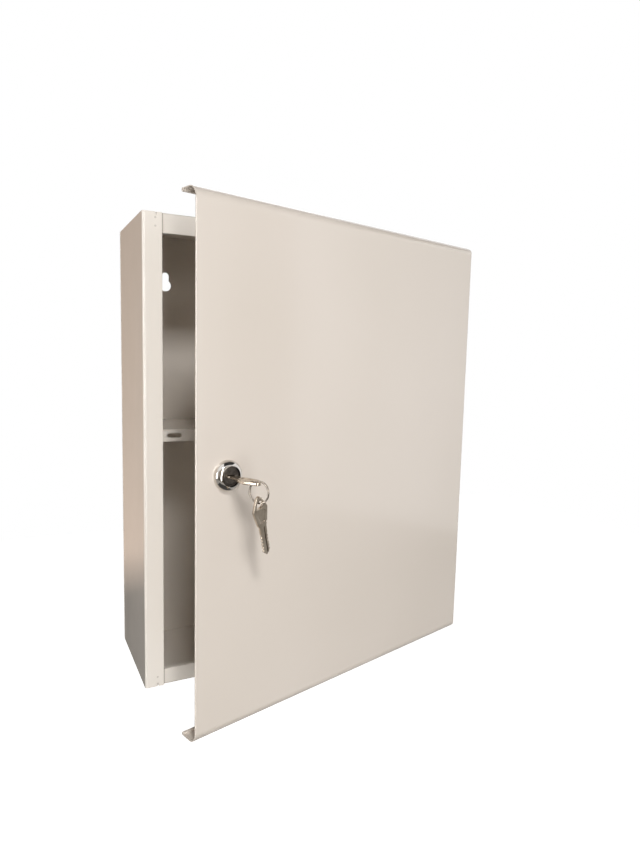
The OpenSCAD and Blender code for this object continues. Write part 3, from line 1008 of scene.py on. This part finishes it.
@dataclass
class CamLock:
    """The cam lock: bezel and threaded barrel, plug, nut, washers, cam and screw.

    Heights are counted outwards from the face of the door, so what lies behind it is negative.
    """

    shop: Workshop
    face: PlugFace = PlugFace()
    nut_plan: NutPattern = NutPattern()
    screw_plan: ScrewPattern = ScrewPattern()
    bezel_radius: float = 10.9
    dome_radius: float = 5.4
    dome_rise: float = 0.4
    dome_overhang: float = 0.08
    dome_steps: int = 16
    counterbore_radius: float = 7.3
    counterbore_floor: float = 1.5
    bore_radius: float = 6.25
    barrel_radius: float = 9.0
    barrel_flats: float = 16.0
    barrel_end: float = -20.3
    barrel_top: float = 0.2
    thread_depth: float = 0.45
    thread_root: float = 0.2
    thread_pitch: float = 1.0
    thread_share: float = 0.42
    thread_lead: float = 0.6
    thread_start: float = -1.7
    thread_steps: int = 48
    plug_radius: float = 6.2
    plug_head_radius: float = 7.0
    plug_head_foot: float = 1.7
    plug_face: float = 4.4
    cam_front: float = -20.8
    cam_thickness: float = 2.0
    square_width: float = 7.0
    washer_thickness: float = 0.6
    edge_width: float = 0.15

    def seat(self) -> Seat:
        """The lock's frame: X to the right, Y up and Z out of the door's face."""
        turn = self.shop.joint("lock_turn")
        out = -Vector(turn["axis"]).normalized()
        up = Vector((0, 0, 1))
        return Seat(Vector(turn["pos_m"]), up.cross(out), up, out)

    def build(self) -> None:
        """Models and dresses the lock."""
        seat = self.seat()
        place = seat.matrix()
        chrome = Metal(
            "polished_chrome",
            paint(226, 222, 217),
            paint(206, 200, 193),
            0.07,
            grain_depth=0.000001,
            edge_radius=0.0,
        ).make()
        zinc = Metal("zinc_lock_parts", paint(200, 199, 194), paint(170, 168, 160), 0.33).make()
        turned = TurnedMetal(
            "turned_plug",
            paint(120, 114, 108),
            paint(84, 79, 75),
            0.3,
            tuple(seat.origin),
            tuple(seat.out),
        ).make()
        self.finish_piece(self.housing(), place, Body.DOOR, Slot.CHROME, chrome, "lock_housing")
        self.finish_piece(self.plug(), place, Body.PLUG, Slot.PLUG, turned, "lock_plug")
        self.finish_piece(self.nut(), place, Body.DOOR, Slot.ZINC, zinc, "lock_nut")
        self.finish_piece(self.screw(), place, Body.PLUG, Slot.ZINC, zinc, "cam_screw")
        for node, name, body in (
            ("lock_washer", "nut_washer", Body.DOOR),
            ("lock_cam", "cam_plate", Body.PLUG),
            ("cam_washer", "screw_washer", Body.PLUG),
        ):
            self.shop.refine(node, name, self.edge_width, body, Slot.ZINC, zinc)

    def finish_piece(
        self,
        piece: bpy.types.Object,
        place: Matrix,
        body: Body,
        slot: Slot,
        finish: bpy.types.Material,
        node: str,
    ) -> None:
        """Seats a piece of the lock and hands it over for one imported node."""
        self.shop.settle(piece, place)
        self.shop.hand_over(piece, body, slot, finish, [node])

    def bezel_outline(self) -> list[tuple[float, float]]:
        """Section of the domed bezel, from its foot on the door to the counterbore."""
        reach = math.sqrt(self.dome_radius**2 - self.dome_rise**2)
        centre = self.bezel_radius + self.dome_overhang - reach
        start = math.acos((self.bezel_radius - centre) / self.dome_radius)
        end = math.acos((self.counterbore_radius - centre) / self.dome_radius)
        outline = [(self.bore_radius, 0.0), (self.bezel_radius, 0.0)]
        for step in range(self.dome_steps + 1):
            angle = start + (end - start) * step / self.dome_steps
            outline.append(
                (
                    centre + self.dome_radius * math.cos(angle),
                    self.dome_rise + self.dome_radius * math.sin(angle),
                )
            )
        outline += [
            (self.counterbore_radius, self.counterbore_floor),
            (self.bore_radius, self.counterbore_floor),
            (self.bore_radius, 0.0),
        ]
        return outline

    def housing(self) -> bpy.types.Object:
        """Bezel, barrel with flats, and the thread on the barrel's round sides."""
        bezel = Bench.lathe("lock_body", self.bezel_outline(), steps=96)
        core = self.barrel_radius - self.thread_depth
        barrel = Bench.cylinder("barrel", core, self.barrel_end, self.barrel_top)
        neck = Bench.cylinder("neck", self.barrel_radius, self.thread_start, self.barrel_top)
        Bench.combine(barrel, Cut.WITH, neck)
        thread = self.thread()
        Bench.combine(thread, Cut.TO, self.flats_slab())
        Bench.combine(barrel, Cut.TO, self.flats_slab())
        bore = Bench.cylinder(
            "bore", self.bore_radius, self.barrel_end - TOOL_REACH, TOOL_REACH, sides=96
        )
        Bench.combine(barrel, Cut.AWAY, bore)
        Bench.take(bezel)
        barrel.select_set(True)
        thread.select_set(True)
        bpy.ops.object.join()
        Bench.smooth(bezel, degrees=35)
        return bezel

    def flats_slab(self) -> bpy.types.Object:
        """Block between the barrel's two flats, wider than the barrel."""
        half = self.barrel_flats / 2
        reach = 4 * TOOL_REACH
        return Bench.block("flats", (-reach, -half, self.barrel_end), (reach, half, 1.0))

    def thread(self) -> bpy.types.Object:
        """Helical ridge round the barrel, wound from one triangle."""
        length = self.thread_start - self.barrel_end
        turns = int(length / self.thread_pitch) - 1
        core = self.barrel_radius - self.thread_depth
        half = self.thread_share * self.thread_pitch
        foot = self.barrel_end + self.thread_lead
        Bench.clear()
        bpy.ops.mesh.primitive_plane_add(size=1, location=(0, 0, 0))
        piece = Bench.named("thread")
        with Bench.editing(piece):
            bpy.ops.mesh.merge(type="CENTER")
            bpy.ops.transform.translate(value=(core - self.thread_root, 0, foot - half))
            for step in ((0, 0, 2 * half), (self.thread_root + self.thread_depth, 0, -half)):
                bpy.ops.mesh.extrude_vertices_move(TRANSFORM_OT_translate={"value": step})
            bpy.ops.mesh.select_all(action="SELECT")
            bpy.ops.mesh.edge_face_add()
            bpy.ops.mesh.delete(type="ONLY_FACE")
        Bench.modify(
            piece,
            "SCREW",
            axis="Z",
            angle=2 * math.pi,
            screw_offset=self.thread_pitch,
            iterations=turns,
            steps=self.thread_steps,
            render_steps=self.thread_steps,
            use_normal_calculate=True,
        )
        Bench.close_ends(piece)
        return piece

    def plug(self) -> bpy.types.Object:
        """Plug with a grooved face, a keyway and a square end."""
        top = self.plug_face
        head = self.plug_head_radius
        face = self.face
        groove = top - face.groove_depth
        dish = top - face.dish_depth
        outline = [
            (0.0, self.cam_front),
            (self.plug_radius, self.cam_front),
            (self.plug_radius, self.plug_head_foot),
            (head, self.plug_head_foot),
            (head, top - face.chamfer),
            (head - face.chamfer, top),
            (face.groove_mouth[0], top),
            (face.groove_floor[0], groove),
            (face.groove_floor[1], groove),
            (face.groove_mouth[1], top),
            (face.dish_mouth, top),
            (face.dish_floor, dish),
            (0.0, dish),
        ]
        piece = Bench.lathe("plug", outline, steps=96)
        half = self.square_width / 2
        back = self.cam_front - self.cam_thickness
        square = Bench.block("square", (-half, -half, back), (half, half, self.cam_front + 1))
        Bench.combine(piece, Cut.WITH, square)
        Bench.combine(piece, Cut.AWAY, self.keyway())
        Bench.smooth(piece, degrees=30)
        return piece

    def keyway(self) -> bpy.types.Object:
        """Slot for the key's blade, with a chamfered mouth."""
        top = self.plug_face
        half_width = self.face.keyway_width / 2
        half_height = self.face.keyway_height / 2
        slot = Bench.block(
            "keyway",
            (-half_width, -half_height, self.face.keyway_end),
            (half_width, half_height, top + 1),
        )
        with Bench.editing(slot):
            bpy.ops.mesh.bisect(
                plane_co=(0, 0, top - self.face.keyway_mouth_depth), plane_no=(0, 0, 1)
            )
            Bench.pick_vertices(slot, lambda co: co.z > top)
            bpy.ops.transform.resize(
                value=(*self.face.keyway_flare, 1.0), center_override=(0, 0, top)
            )
        return slot

    def nut(self) -> bpy.types.Object:
        """Hexagon nut with chamfered corners and a plain bore."""
        plan = self.nut_plan
        top = plan.face
        foot = top - plan.thickness
        corner = plan.flats / 2 / math.cos(math.radians(30))
        piece = Bench.cylinder("nut", corner, foot, top, sides=6)
        rim = plan.flats / 2 - plan.rim_inset
        edge = rim + plan.chamfer_width
        dome = Bench.lathe(
            "chamfer",
            [
                (0.0, foot),
                (rim, foot),
                (edge, foot + plan.chamfer_drop),
                (edge, top - plan.chamfer_drop),
                (rim, top),
                (0.0, top),
            ],
        )
        Bench.combine(piece, Cut.TO, dome)
        cutter = Bench.cylinder("nut_bore", self.barrel_radius, foot - 1, top + 1, sides=72)
        Bench.combine(piece, Cut.AWAY, cutter)
        Bench.soften(piece, plan.edge_width)
        return piece

    def screw(self) -> bpy.types.Object:
        """Pan-head screw with a cross recess, seen from behind the door."""
        plan = self.screw_plan
        under = self.cam_front - self.cam_thickness - self.washer_thickness
        tip = under - plan.head_height
        outline = Bench.dome(plan.head_radius, plan.crown, tip, plan.crown_steps)
        outline += [
            (plan.head_radius, under),
            (plan.shank_radius, under),
            (plan.shank_radius, under + plan.shank_length),
            (0.0, under + plan.length),
        ]
        piece = Bench.lathe("screw", outline, steps=64)
        reach, half = plan.recess_reach, plan.recess_half
        for x, y in ((reach, half), (half, reach)):
            blade = Bench.block(
                "recess", (-x, -y, tip - plan.recess_overlap), (x, y, tip + plan.recess_depth)
            )
            with Bench.editing(blade):
                Bench.pick_vertices(blade, lambda co: co.z > tip)
                bpy.ops.transform.resize(
                    value=(plan.recess_taper, plan.recess_taper, 1.0), center_override=(0, 0, tip)
                )
            Bench.combine(piece, Cut.AWAY, blade)
        Bench.smooth(piece, degrees=30)
        return piece


@dataclass(frozen=True)
class KeyPattern:
    """Sizes of a key, in millimetres. X runs from the tip of the bow to the tip of the blade.

    Rods are (x, y, radius), and the outline of the bow or of its sunk panel wraps round them.
    """

    length: float = 45.5
    bow_length: float = 22.5
    bow_width: float = 12.5
    bow_thickness: float = 1.8
    blade_width: float = 6.0
    blade_thickness: float = 1.5
    hole_radius: float = 2.8
    hole_place: float = 5.8
    tip_radius: float = 2.6
    side_radius: float = 2.2
    side_place: float = 0.44
    root_radius: float = 1.4
    root_inset: float = 0.4
    recess_depth: float = 0.3
    recess_hole_gap: float = 1.4
    recess_tip_radius: float = 0.7
    recess_corner_radius: float = 0.8
    recess_side_place: float = 0.5
    recess_side_gap: float = 2.6
    recess_root_gap: float = 3.2
    floor_share: tuple[float, float] = (0.86, 0.8)
    nick_places: tuple[float, float] = (-1.6, 0.6)
    nick_radius: float = 0.8
    nick_gap: float = 0.9
    nose_slope: float = 0.75
    cut_pitch: float = 2.7
    cut_count: int = 5
    cut_start: float = 0.6
    cut_half: float = 1.1
    cut_taper: float = 0.36
    shallow_cut: float = 0.55
    cut_step: float = 0.3
    cut_overlap: float = 0.1
    groove_depth: float = 0.35
    edge_width: float = 0.14

    def bow_corners(self) -> list[Point]:
        """Rods that the bow's outline wraps round."""
        side = self.bow_width / 2 - self.side_radius
        root = self.blade_width / 2 - self.root_inset
        corners = [(self.tip_radius, 0.0, self.tip_radius)]
        for sign in (-1, 1):
            corners.append((self.bow_length * self.side_place, sign * side, self.side_radius))
            corners.append((self.bow_length - self.root_radius, sign * root, self.root_radius))
        return corners

    def recess_corners(self) -> list[Point]:
        """Rods that the bow's sunk panel wraps round."""
        tip = self.hole_place + self.hole_radius + self.recess_hole_gap
        side_x = self.bow_length * self.recess_side_place
        side_y = self.bow_width / 2 - self.recess_side_gap
        root_x = self.bow_length - self.recess_root_gap
        radius = self.recess_corner_radius
        corners = [(tip, 0.0, self.recess_tip_radius)]
        for sign in (-1, 1):
            corners.append((side_x, sign * side_y, radius))
            corners.append((root_x, sign * self.blade_width / 4, radius))
        return corners

    def cut_depth(self, index: int) -> float:
        """Depth of one of the blade's cuts, which takes one of three values."""
        return self.shallow_cut + self.cut_step * ((index * 2 + 1) % 3)


@dataclass
class KeySet:
    """The key in the lock, the split ring and the spare key on it."""

    shop: Workshop
    lock: CamLock
    pattern: KeyPattern = KeyPattern()
    standoff: float = 37.0
    spare_lean: float = 11.0
    spare_tilt: float = 19.0
    spare_turn: float = 6.0
    spare_hang: float = 0.9
    ring_radius: float = 7.2
    wire_width: float = 0.9
    wire_height: float = 0.6
    wire_gap: float = 0.02
    wire_corner: float = 0.16
    ring_cross: float = 40.0
    ring_cross_steps: int = 10
    ring_split: float = 2.0
    ring_split_turn: float = 200.0
    ring_steps: int = 54

    def build(self) -> None:
        """Models and dresses both keys and the ring."""
        nickel = Metal(
            "nickel_key",
            paint(218, 206, 190),
            paint(188, 174, 157),
            0.25,
            grain_size=0.0005,
            grain_depth=0.000006,
            edge_radius=0.0,
        ).make()
        wire = Metal(
            "spring_wire", paint(158, 149, 139), paint(112, 104, 95), 0.24, edge_radius=0.0
        ).make()
        key = self.key("key")
        spare = key.copy()
        spare.data = key.data.copy()
        spare.name = "spare"
        bpy.context.scene.collection.objects.link(spare)
        self.shop.settle(key, self.key_place())
        self.shop.hand_over(key, Body.KEY, Slot.NICKEL, nickel, ["key_in_lock"])
        self.shop.settle(spare, self.spare_place())
        self.shop.hand_over(spare, Body.SPARE, Slot.NICKEL, nickel, ["spare_key"])
        ring = self.ring()
        self.shop.settle(ring, self.ring_place())
        self.shop.hand_over(ring, Body.RING, Slot.WIRE, wire, ["key_ring"])

    def key_place(self) -> Matrix:
        """Place of the key in the lock."""
        stand = Matrix.Translation((0, 0, self.standoff))
        lay = Matrix.Rotation(math.radians(-90), 4, "Z") @ Matrix.Rotation(math.radians(90), 4, "Y")
        return self.lock.seat().matrix() @ stand @ lay

    def spare_place(self) -> Matrix:
        """Place of the spare key, which hangs on the foot of the ring."""
        seat = self.lock.seat()
        foot = Vector(self.shop.joint("spare_swing")["pos_m"])
        hung = Seat(foot, seat.right, seat.up, seat.out).matrix()
        turn = (
            Matrix.Rotation(math.radians(self.spare_tilt), 4, "Z")
            @ Matrix.Rotation(math.radians(self.spare_lean), 4, "X")
            @ Matrix.Rotation(math.radians(self.spare_turn), 4, "Y")
            @ Matrix.Rotation(math.radians(-90), 4, "Z")
        )
        return hung @ turn @ Matrix.Translation((self.spare_hang - self.pattern.hole_place, 0, 0))

    def ring_place(self) -> Matrix:
        """Place of the ring, whose own Z axis is the axis that it turns about."""
        swing = self.shop.joint("ring_swing")
        axis = Vector(swing["axis"]).normalized()
        up = Vector((0, 0, 1))
        return Seat(Vector(swing["pos_m"]), up.cross(axis), up, axis).matrix()

    def key(self, name: str) -> bpy.types.Object:
        """Key with a hexagonal bow, a sunk panel on each side and a grooved blade.

        Args:
            name: The piece's name.

        Returns:
            The key, flat in the XY plane.
        """
        plan = self.pattern
        half = plan.bow_thickness / 2
        piece = Bench.plate(name, plan.bow_corners(), -half, half)
        Bench.combine(piece, Cut.WITH, self.blade())
        middle = (plan.hole_place, 0, 0)
        hole = Bench.cylinder(
            "hole", plan.hole_radius, -TOOL_REACH, TOOL_REACH, sides=48, at=middle
        )
        Bench.combine(piece, Cut.AWAY, hole)
        for side in (-1, 1):
            low, high = sorted((side * (half - plan.recess_depth), side * (half + 1)))
            panel = Bench.plate("panel", plan.recess_corners(), low, high)
            self.slope(panel, side * (half - plan.recess_depth))
            Bench.combine(piece, Cut.AWAY, panel)
        for place in plan.nick_places:
            middle = (plan.bow_length + place, plan.blade_width / 2 + plan.nick_gap, 0)
            nick = Bench.cylinder(
                "nick", plan.nick_radius, -TOOL_REACH, TOOL_REACH, sides=24, at=middle
            )
            Bench.combine(piece, Cut.AWAY, nick)
        Bench.soften(piece, plan.edge_width)
        return piece

    def slope(self, panel: bpy.types.Object, floor: float) -> None:
        """Draws in the floor of a sunk panel, so that its walls slope."""
        plan = self.pattern
        middle = (plan.hole_place + plan.hole_radius + plan.bow_length) / 2
        with Bench.editing(panel):
            Bench.pick_vertices(panel, lambda co: abs(co.z - floor) < PICK_REACH)
            bpy.ops.transform.resize(
                value=(*plan.floor_share, 1.0), center_override=(middle, 0, floor)
            )

    def blade(self) -> bpy.types.Object:
        """Blade with its pointed nose, cuts and grooves."""
        plan = self.pattern
        half_width = plan.blade_width / 2
        half = plan.blade_thickness / 2
        piece = Bench.block(
            "blade", (plan.bow_length - 2, -half_width, -half), (plan.length, half_width, half)
        )
        shoulder = plan.length - half_width
        with Bench.editing(piece):
            for side in (-1, 1):
                bpy.ops.mesh.select_all(action="SELECT")
                slope = Vector((plan.nose_slope * half_width, side * half_width, 0)).normalized()
                bpy.ops.mesh.bisect(
                    plane_co=(shoulder, side * half_width, 0),
                    plane_no=slope,
                    use_fill=True,
                    clear_outer=True,
                )
        for side in (-1, 1):
            for index in range(plan.cut_count):
                place = shoulder - (index + plan.cut_start) * plan.cut_pitch
                Bench.combine(piece, Cut.AWAY, self.cut(place, side, plan.cut_depth(index)))
            groove_at = side * plan.blade_width / 8
            width = plan.blade_width / 12
            low, high = sorted((side * (half - plan.groove_depth), side * (half + 1)))
            groove = Bench.block(
                "groove",
                (plan.bow_length + 1, groove_at - width, low),
                (plan.length + TOOL_REACH, groove_at + width, high),
            )
            Bench.combine(piece, Cut.AWAY, groove)
        return piece

    def cut(self, place: float, side: int, depth: float) -> bpy.types.Object:
        """Wedge that makes one cut in the blade's edge."""
        plan = self.pattern
        edge = side * plan.blade_width / 2
        inner = edge - side * depth
        low, high = sorted((edge + side * plan.cut_overlap, inner))
        half = plan.cut_half
        wedge = Bench.block(
            "cut", (place - half, low, -TOOL_REACH), (place + half, high, TOOL_REACH)
        )
        with Bench.editing(wedge):
            Bench.pick_vertices(wedge, lambda co: abs(co.y - inner) < PICK_REACH)
            bpy.ops.transform.resize(
                value=(plan.cut_taper, 1.0, 1.0), center_override=(place, inner, 0)
            )
        return wedge

    def ring(self) -> bpy.types.Object:
        """Split ring: a rounded wire spun through two flat turns, with a step between them."""
        Bench.clear()
        bpy.ops.mesh.primitive_plane_add(size=1, location=(0, 0, 0))
        piece = Bench.named("split_ring")
        start = math.radians(self.ring_split_turn + self.ring_cross / 2 + self.ring_split)
        pitch = self.wire_height + self.wire_gap
        flat = math.radians(360 - self.ring_cross - self.ring_split)
        with Bench.editing(piece):
            bpy.ops.transform.resize(value=(self.wire_width, self.wire_height, 1))
            bpy.ops.mesh.bevel(offset=self.wire_corner, segments=3, affect="VERTICES")
            bpy.ops.transform.rotate(
                value=math.pi / 2, orient_axis="X", center_override=(0, 0, 0)
            )
            bpy.ops.transform.translate(value=(self.ring_radius, 0, -pitch / 2))
            bpy.ops.mesh.delete(type="ONLY_FACE")
            bpy.ops.mesh.select_all(action="SELECT")
            self.spin(flat, self.ring_steps)
            steps = self.ring_cross_steps
            for step in range(steps):
                self.spin(math.radians(self.ring_cross / steps), 1)
                rise = pitch * (self.ease((step + 1) / steps) - self.ease(step / steps))
                bpy.ops.transform.translate(value=(0, 0, rise))
            self.spin(flat, self.ring_steps)
            bpy.ops.mesh.select_all(action="SELECT")
            bpy.ops.mesh.remove_doubles(threshold=MERGE_DISTANCE)
        piece.data.transform(Matrix.Rotation(start, 4, "Z"))
        Bench.close_ends(piece)
        Bench.smooth(piece, degrees=40)
        return piece

    @staticmethod
    def ease(share: float) -> float:
        """Smooth step from 0 to 1."""
        return share * share * (3 - 2 * share)

    @staticmethod
    def spin(angle: float, steps: int) -> None:
        """Spins what is selected about the Z axis."""
        bpy.ops.mesh.spin(steps=steps, angle=angle, center=(0, 0, 0), axis=(0, 0, 1))


@dataclass(frozen=True)
class Card:
    """A board beside the set that only glossy surfaces show."""

    name: str
    place: Point
    size: tuple[float, float]
    tilt: float
    stops: tuple[tuple[float, Colour], ...]

    def stand(self) -> None:
        """Puts the board up, hidden from the camera, from diffuse rays and from shadows."""
        Bench.clear()
        bpy.ops.mesh.primitive_plane_add(
            size=1, location=self.place, rotation=(math.radians(self.tilt), 0, 0)
        )
        board = Bench.named(self.name)
        board.scale = (*self.size, 1.0)
        bpy.ops.object.transform_apply(location=True, rotation=True, scale=True)
        graph = Graph(self.name)
        middle = self.place[2]
        share = graph.along((0.0, 0.0, middle - self.size[1] / 2), (0.0, 0.0, 1 / self.size[1]))
        graph.finish(
            Base_Color=(0.0, 0.0, 0.0, 1.0),
            Roughness=1.0,
            Specular_IOR_Level=0.0,
            Emission_Color=graph.node("ShaderNodeValToRGB", {"stops": self.stops}, {0: share}),
            Emission_Strength=1.0,
        )
        board.data.materials.append(graph.material)
        board.visible_camera = False
        board.visible_diffuse = False
        board.visible_transmission = False
        board.visible_shadow = False


@dataclass(frozen=True)
class Lamp:
    """A rectangular soft lamp."""

    name: str
    place: Point
    target: Point
    size: tuple[float, float]
    power: float

    def stand(self) -> None:
        """Puts the lamp up, facing its target."""
        data = bpy.data.lights.new(self.name, "AREA")
        data.shape = "RECTANGLE"
        data.size, data.size_y = self.size
        data.energy = self.power
        lamp = bpy.data.objects.new(self.name, data)
        aim = Vector(self.target) - Vector(self.place)
        turn = aim.to_track_quat("-Z", "Y").to_matrix().to_4x4()
        lamp.matrix_world = Matrix.Translation(self.place) @ turn
        bpy.context.scene.collection.objects.link(lamp)


@dataclass
class Studio:
    """Camera, world, floor, lamps and boards."""

    camera_place: Point = (-0.24418, -0.59163, -0.06246)
    yaw: float = 26.85
    pitch: float = 6.406
    roll: float = -1.398
    focal_pixels: float = 620.28
    picture_height: float = 853.0
    sensor: float = 36.0
    nearest: float = 0.01
    floor_drop: float = 1.35
    floor_half: float = 4.0
    floor_colour: Colour = (0.8, 0.79, 0.77)
    floor_deep_colour: Colour = (0.76, 0.75, 0.73)
    floor_patch: float = 0.4
    floor_roughness: float = 0.6
    floor_light: float = 0.8
    world_colour: Colour = (1.0, 0.97, 0.93)
    world_light: float = 0.2
    lamps: tuple[Lamp, ...] = (
        Lamp("key_lamp", (-0.195, -1.05, -0.1), (-0.08, -0.15, -0.17), (0.13, 0.9), 3.8),
        Lamp("top_lamp", (-0.45, -2.4, 1.85), (-0.05, -0.12, -0.1), (0.55, 0.55), 36.0),
        Lamp("side_lamp", (-1.6, -0.63, -0.05), (-0.15, -0.1, -0.15), (0.3, 0.9), 7.0),
        Lamp("fill_lamp", (0.9, -1.9, 0.3), (0.0, -0.1, -0.15), (1.4, 1.4), 2.2),
        Lamp("back_lamp", (0.5, 2.2, 0.5), (0.0, 0.0, -0.14), (1.4, 1.4), 11.0),
    )
    cards: tuple[Card, ...] = (
        Card(
            "wall_card",
            (-0.9, 0.6, -0.2),
            (1.5, 3.0),
            90.0,
            (
                (0.39, (0.05, 0.04, 0.035)),
                (0.42, (0.78, 0.58, 0.45)),
                (0.5, (0.62, 0.46, 0.35)),
                (0.62, (0.47, 0.33, 0.24)),
            ),
        ),
        Card(
            "room_card",
            (0.0, -2.3, 0.2),
            (6.0, 3.2),
            90.0,
            ((0.22, (0.14, 0.12, 0.1)), (0.44, (0.42, 0.38, 0.34))),
        ),
        Card("ceiling_card", (0.6, -0.3, 0.95), (1.6, 1.5), 0.0, ((0.0, (0.05, 0.05, 0.05)),)),
        Card("low_card", (-0.2, -0.55, -1.05), (1.4, 1.2), 0.0, ((0.0, (0.07, 0.07, 0.07)),)),
    )

    def build(self) -> None:
        """Sets up the whole studio."""
        self.camera()
        self.world()
        self.floor()
        for lamp in self.lamps:
            lamp.stand()
        for card in self.cards:
            card.stand()
        bpy.context.scene.view_settings.view_transform = "Standard"

    def camera(self) -> None:
        """Puts the camera where the photographer stood."""
        yaw, pitch, roll = (math.radians(a) for a in (self.yaw, self.pitch, self.roll))
        ahead = Vector(
            (
                math.sin(yaw) * math.cos(pitch),
                math.cos(yaw) * math.cos(pitch),
                -math.sin(pitch),
            )
        )
        level = Vector((math.cos(yaw), -math.sin(yaw), 0))
        down = ahead.cross(level)
        right = math.cos(roll) * level + math.sin(roll) * down
        below = -math.sin(roll) * level + math.cos(roll) * down
        turn = Matrix((right, -below, -ahead)).transposed().to_4x4()
        data = bpy.data.cameras.new("camera")
        data.sensor_width = self.sensor
        data.lens = self.focal_pixels / self.picture_height * self.sensor
        data.clip_start = self.nearest
        camera = bpy.data.objects.new("camera", data)
        camera.matrix_world = Matrix.Translation(self.camera_place) @ turn
        bpy.context.scene.collection.objects.link(camera)
        bpy.context.scene.camera = camera

    def world(self) -> None:
        """White to the eye and in reflections, and a soft even light otherwise."""
        world = bpy.data.worlds.new("studio")
        world.use_nodes = True
        bpy.context.scene.world = world
        nodes, links = world.node_tree.nodes, world.node_tree.links
        nodes.clear()
        path = nodes.new("ShaderNodeLightPath")
        seen = nodes.new("ShaderNodeMath")
        seen.operation = "MAXIMUM"
        clear = nodes.new("ShaderNodeMath")
        clear.operation = "MAXIMUM"
        links.new(path.outputs["Is Camera Ray"], seen.inputs[0])
        links.new(path.outputs["Is Glossy Ray"], seen.inputs[1])
        links.new(seen.outputs[0], clear.inputs[0])
        links.new(path.outputs["Is Transmission Ray"], clear.inputs[1])
        light = nodes.new("ShaderNodeBackground")
        light.inputs["Color"].default_value = (*self.world_colour, 1.0)
        light.inputs["Strength"].default_value = self.world_light
        white = nodes.new("ShaderNodeBackground")
        white.inputs["Color"].default_value = (1.0, 1.0, 1.0, 1.0)
        white.inputs["Strength"].default_value = 1.0
        mix = nodes.new("ShaderNodeMixShader")
        links.new(clear.outputs[0], mix.inputs[0])
        links.new(light.outputs[0], mix.inputs[1])
        links.new(white.outputs[0], mix.inputs[2])
        out = nodes.new("ShaderNodeOutputWorld")
        links.new(mix.outputs[0], out.inputs["Surface"])

    def floor(self) -> None:
        """Pale floor far below the cabinet, lit up so that the camera sees it almost white."""
        Bench.clear()
        bpy.ops.mesh.primitive_plane_add(
            size=2 * self.floor_half, location=(0, 0, -self.floor_drop)
        )
        floor = Bench.named("floor")
        bpy.ops.object.transform_apply(location=True, rotation=True, scale=True)
        graph = Graph("floor_paint")
        cloud = graph.spread(graph.noise(self.floor_patch), 0.0, 1.0)
        tone = graph.mix(cloud, self.floor_colour, self.floor_deep_colour)
        seen = graph.node("ShaderNodeLightPath", output="Is Camera Ray")
        graph.finish(
            Base_Color=tone,
            Roughness=self.floor_roughness,
            Emission_Color=graph.mix(seen, (0.0, 0.0, 0.0), (1.0, 1.0, 1.0)),
            Emission_Strength=self.floor_light,
        )
        floor.data.materials.append(graph.material)


def main() -> None:
    """Builds every sub-assembly in order."""
    logging.basicConfig(level=logging.INFO, format="%(name)s: %(message)s")
    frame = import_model()
    shop = Workshop(frame)
    Studio().build()
    Cabinet(shop).build()
    Hinges(shop).build()
    Door(shop).build()
    lock = CamLock(shop)
    lock.build()
    KeySet(shop, lock).build()


if __name__ == "__main__":
    main()
